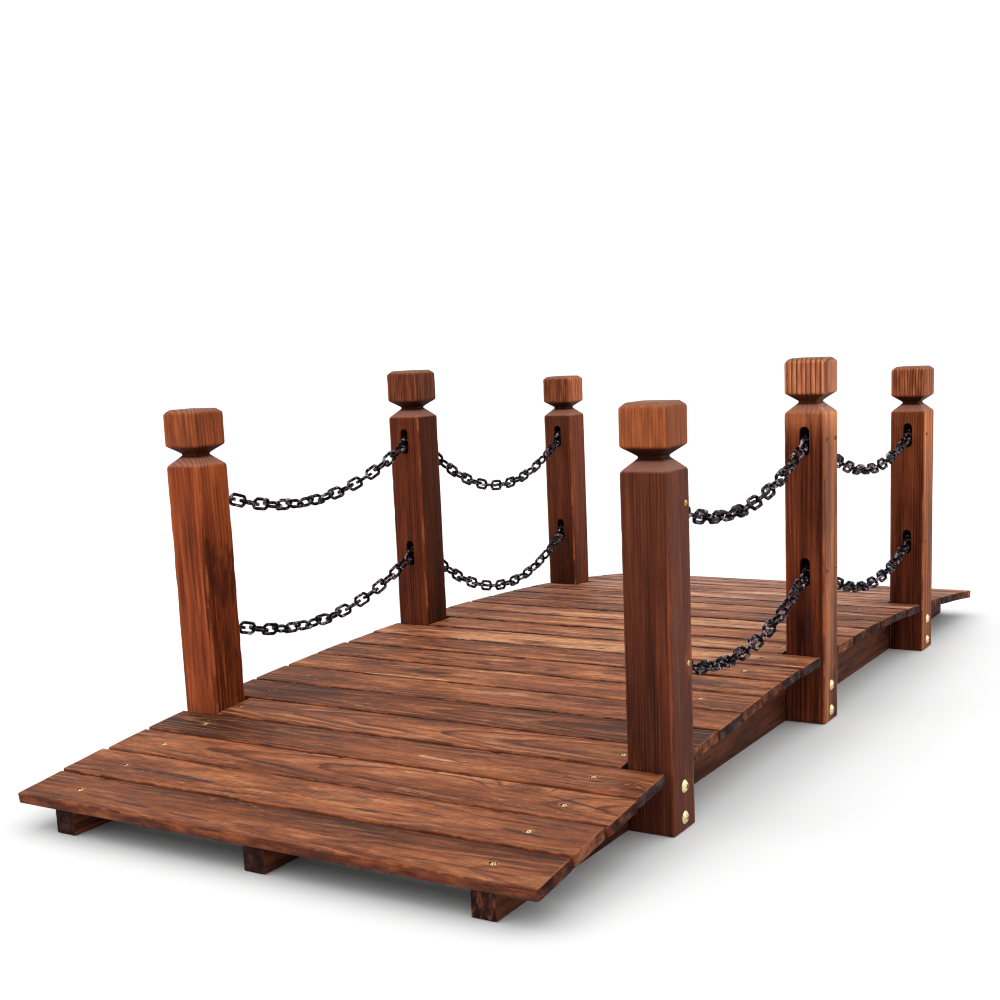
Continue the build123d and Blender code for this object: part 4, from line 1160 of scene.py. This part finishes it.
# ------------------------------------------------------------------ fasteners
def metal(name, base, dark, rough, scale, stain_and_shade=None):
    # the last argument: "place" darkens the chain screw heads to brown, lightly on the near posts and strongly on the
    # middle and far posts, painted shade of their countersunk holes; "dull" darkens deck screw heads towards brown by a
    # vertex attribute; "cross" paints a brown cross and a pale hub on the bolt heads
    g = Tree(name)
    tc = g.node("ShaderNodeTexCoord")
    pos = tc.outputs["Object"]
    n1 = g.noise(pos, scale, 3.0, 0.6)
    n2 = g.noise(pos, scale * 5, 2.0, 0.6)
    col = g.mix(g.step(n1, 0.35, 0.65), dark, base)
    rgh = g.lin(n2, 0.3, 0.7, rough[0], rough[1])
    if stain_and_shade == "cross":
        px, _, pz = [g.mul(c, 1000.0) for c in g.sep(pos)]
        far_x = POST_X["far"]
        dx = g.absf(g.sub(g.mul(g.m("FRACT", g.add(g.div(px, far_x), 0.5)), far_x), far_x * 0.5))
        dz = g.absf(g.sub(g.absf(g.sub(pz, 30.0)), 16.5))
        arm = g.mx(g.mul(g.step(dx, 0.95, 0.6), g.step(dz, 3.0, 2.4)), g.mul(g.step(dz, 0.95, 0.6), g.step(dx, 3.0, 2.4)))
        col = g.mix(g.mul(arm, 0.8), col, srgb(104, 58, 34))
        hub = g.mul(g.step(g.add(g.mul(dx, dx), g.mul(dz, dz)), 9.0, 2.0), g.step(n1, 0.40, 0.60))
        col = g.mix(g.mul(hub, 0.5), col, srgb(190, 118, 84))
    elif stain_and_shade:
        if stain_and_shade == "dull":
            k = g.node("ShaderNodeAttribute", attribute_name="dull").outputs["Fac"]
        else:
            # post screws by place: brown, painted shade of their countersunk holes
            k = g.step(g.sep(pos)[0], -0.30, -0.25, 0.35, 0.93)
        k = g.mul(k, g.lin(n1, 0.3, 0.6, 1.0, 0.85))
        col = g.mix(k, col, srgb(66, 36, 25))
        rgh = g.mixf(k, rgh, 0.6)
    return g.finish(col, rgh, g.add(n1, g.mul(n2, 0.4)), bump=0.25, dist=0.0002, metal=0.85, spec=0.3)


ZINC = metal("zinc_yellow", srgb(240, 228, 184), srgb(206, 184, 128), (0.28, 0.45), 300.0, stain_and_shade="cross")
BRASS = metal("screw_gold", srgb(232, 190, 120), srgb(180, 130, 70), (0.25, 0.42), 500.0, stain_and_shade="place")
for n, m in (("post_bolts_left", ZINC), ("post_bolts_right", ZINC), ("chain_screws_left", BRASS), ("chain_screws_right", BRASS)):
    ob = nodes[n]
    if not ob.material_slots:
        ob.data.materials.append(m)
    for s in ob.material_slots:
        s.material = m


def screw_heads():
    # countersunk heads with a cross recess, sunk in the torn craters
    V, F, D = [], [], []
    count = 0
    rs = [0.0, 0.35, 0.62, 0.9, 1.25, 1.6, 1.95, 2.3, 2.6, 2.8, 2.8, 2.2]
    n_a = 32
    for i in range(N_BOARDS):
        for k, (sl, sw) in enumerate(screw_spots(i)):
            q = rng("head", i, k)
            turn = q.uniform(0, pi)
            tilt_a, tilt = q.uniform(0, 2 * pi), q.uniform(0, radians(4))
            sink = q.uniform(0.15, 0.75)
            rows = []
            for j, r in enumerate(rs):
                row = []
                for a_i in range(n_a if r > 0 else 1):
                    a = 2 * pi * a_i / n_a
                    x, y = r * cos(a), r * sin(a)
                    z = 0.22 * (1 - (r / 2.8) ** 2)
                    if j < 7:
                        d = min(max(abs(x) * 0.7 - 0.0, abs(y) * 3.2), max(abs(y) * 0.7, abs(x) * 3.2))
                        z -= 1.3 * float(smooth(1.55, 0.9, d))
                    if j == 10:
                        z = -0.35
                    if j == 11:
                        z = -1.2
                    xr, yr = x * cos(turn) - y * sin(turn), x * sin(turn) + y * cos(turn)
                    z += tilt * (xr * cos(tilt_a) + yr * sin(tilt_a))
                    row.append((xr + sl, yr + sw, z + BOARD_T / 2 - sink))
                rows.append(row)
            dull = q.uniform(0.0, 0.25) if i < 5 or (k and i in (6, 7, 9)) else q.uniform(0.35, 1.0) if k else q.uniform(0.75, 1.0)
            phi = PHI[i]
            base = count
            for row in rows:
                for (ll, w_, t_) in row:
                    R = RC + t_
                    V.append((R * sin(phi) + w_ * cos(phi), ll, ARCH_ZC + R * cos(phi) - w_ * sin(phi)))
                    D.append(dull)
                    count += 1
            first = base + 1
            for a_i in range(n_a):
                F.append((base, first + (a_i + 1) % n_a, first + a_i))
            for j in range(len(rs) - 2):
                s0 = first + j * n_a
                for a_i in range(n_a):
                    b_i = (a_i + 1) % n_a
                    F.append((s0 + a_i, s0 + b_i, s0 + n_a + b_i, s0 + n_a + a_i))
            F.append(tuple(first + (len(rs) - 2) * n_a + a_i for a_i in range(n_a)))
    ob = make_mesh("deck_screws", np.array(V), F, sharp=40, attrs={"dull": np.array(D)})
    ob.data.materials.append(metal("deck_screw_gold", srgb(232, 206, 158), srgb(176, 138, 92), (0.30, 0.45), 600.0, stain_and_shade="dull"))
    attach(ob, "root")


screw_heads()
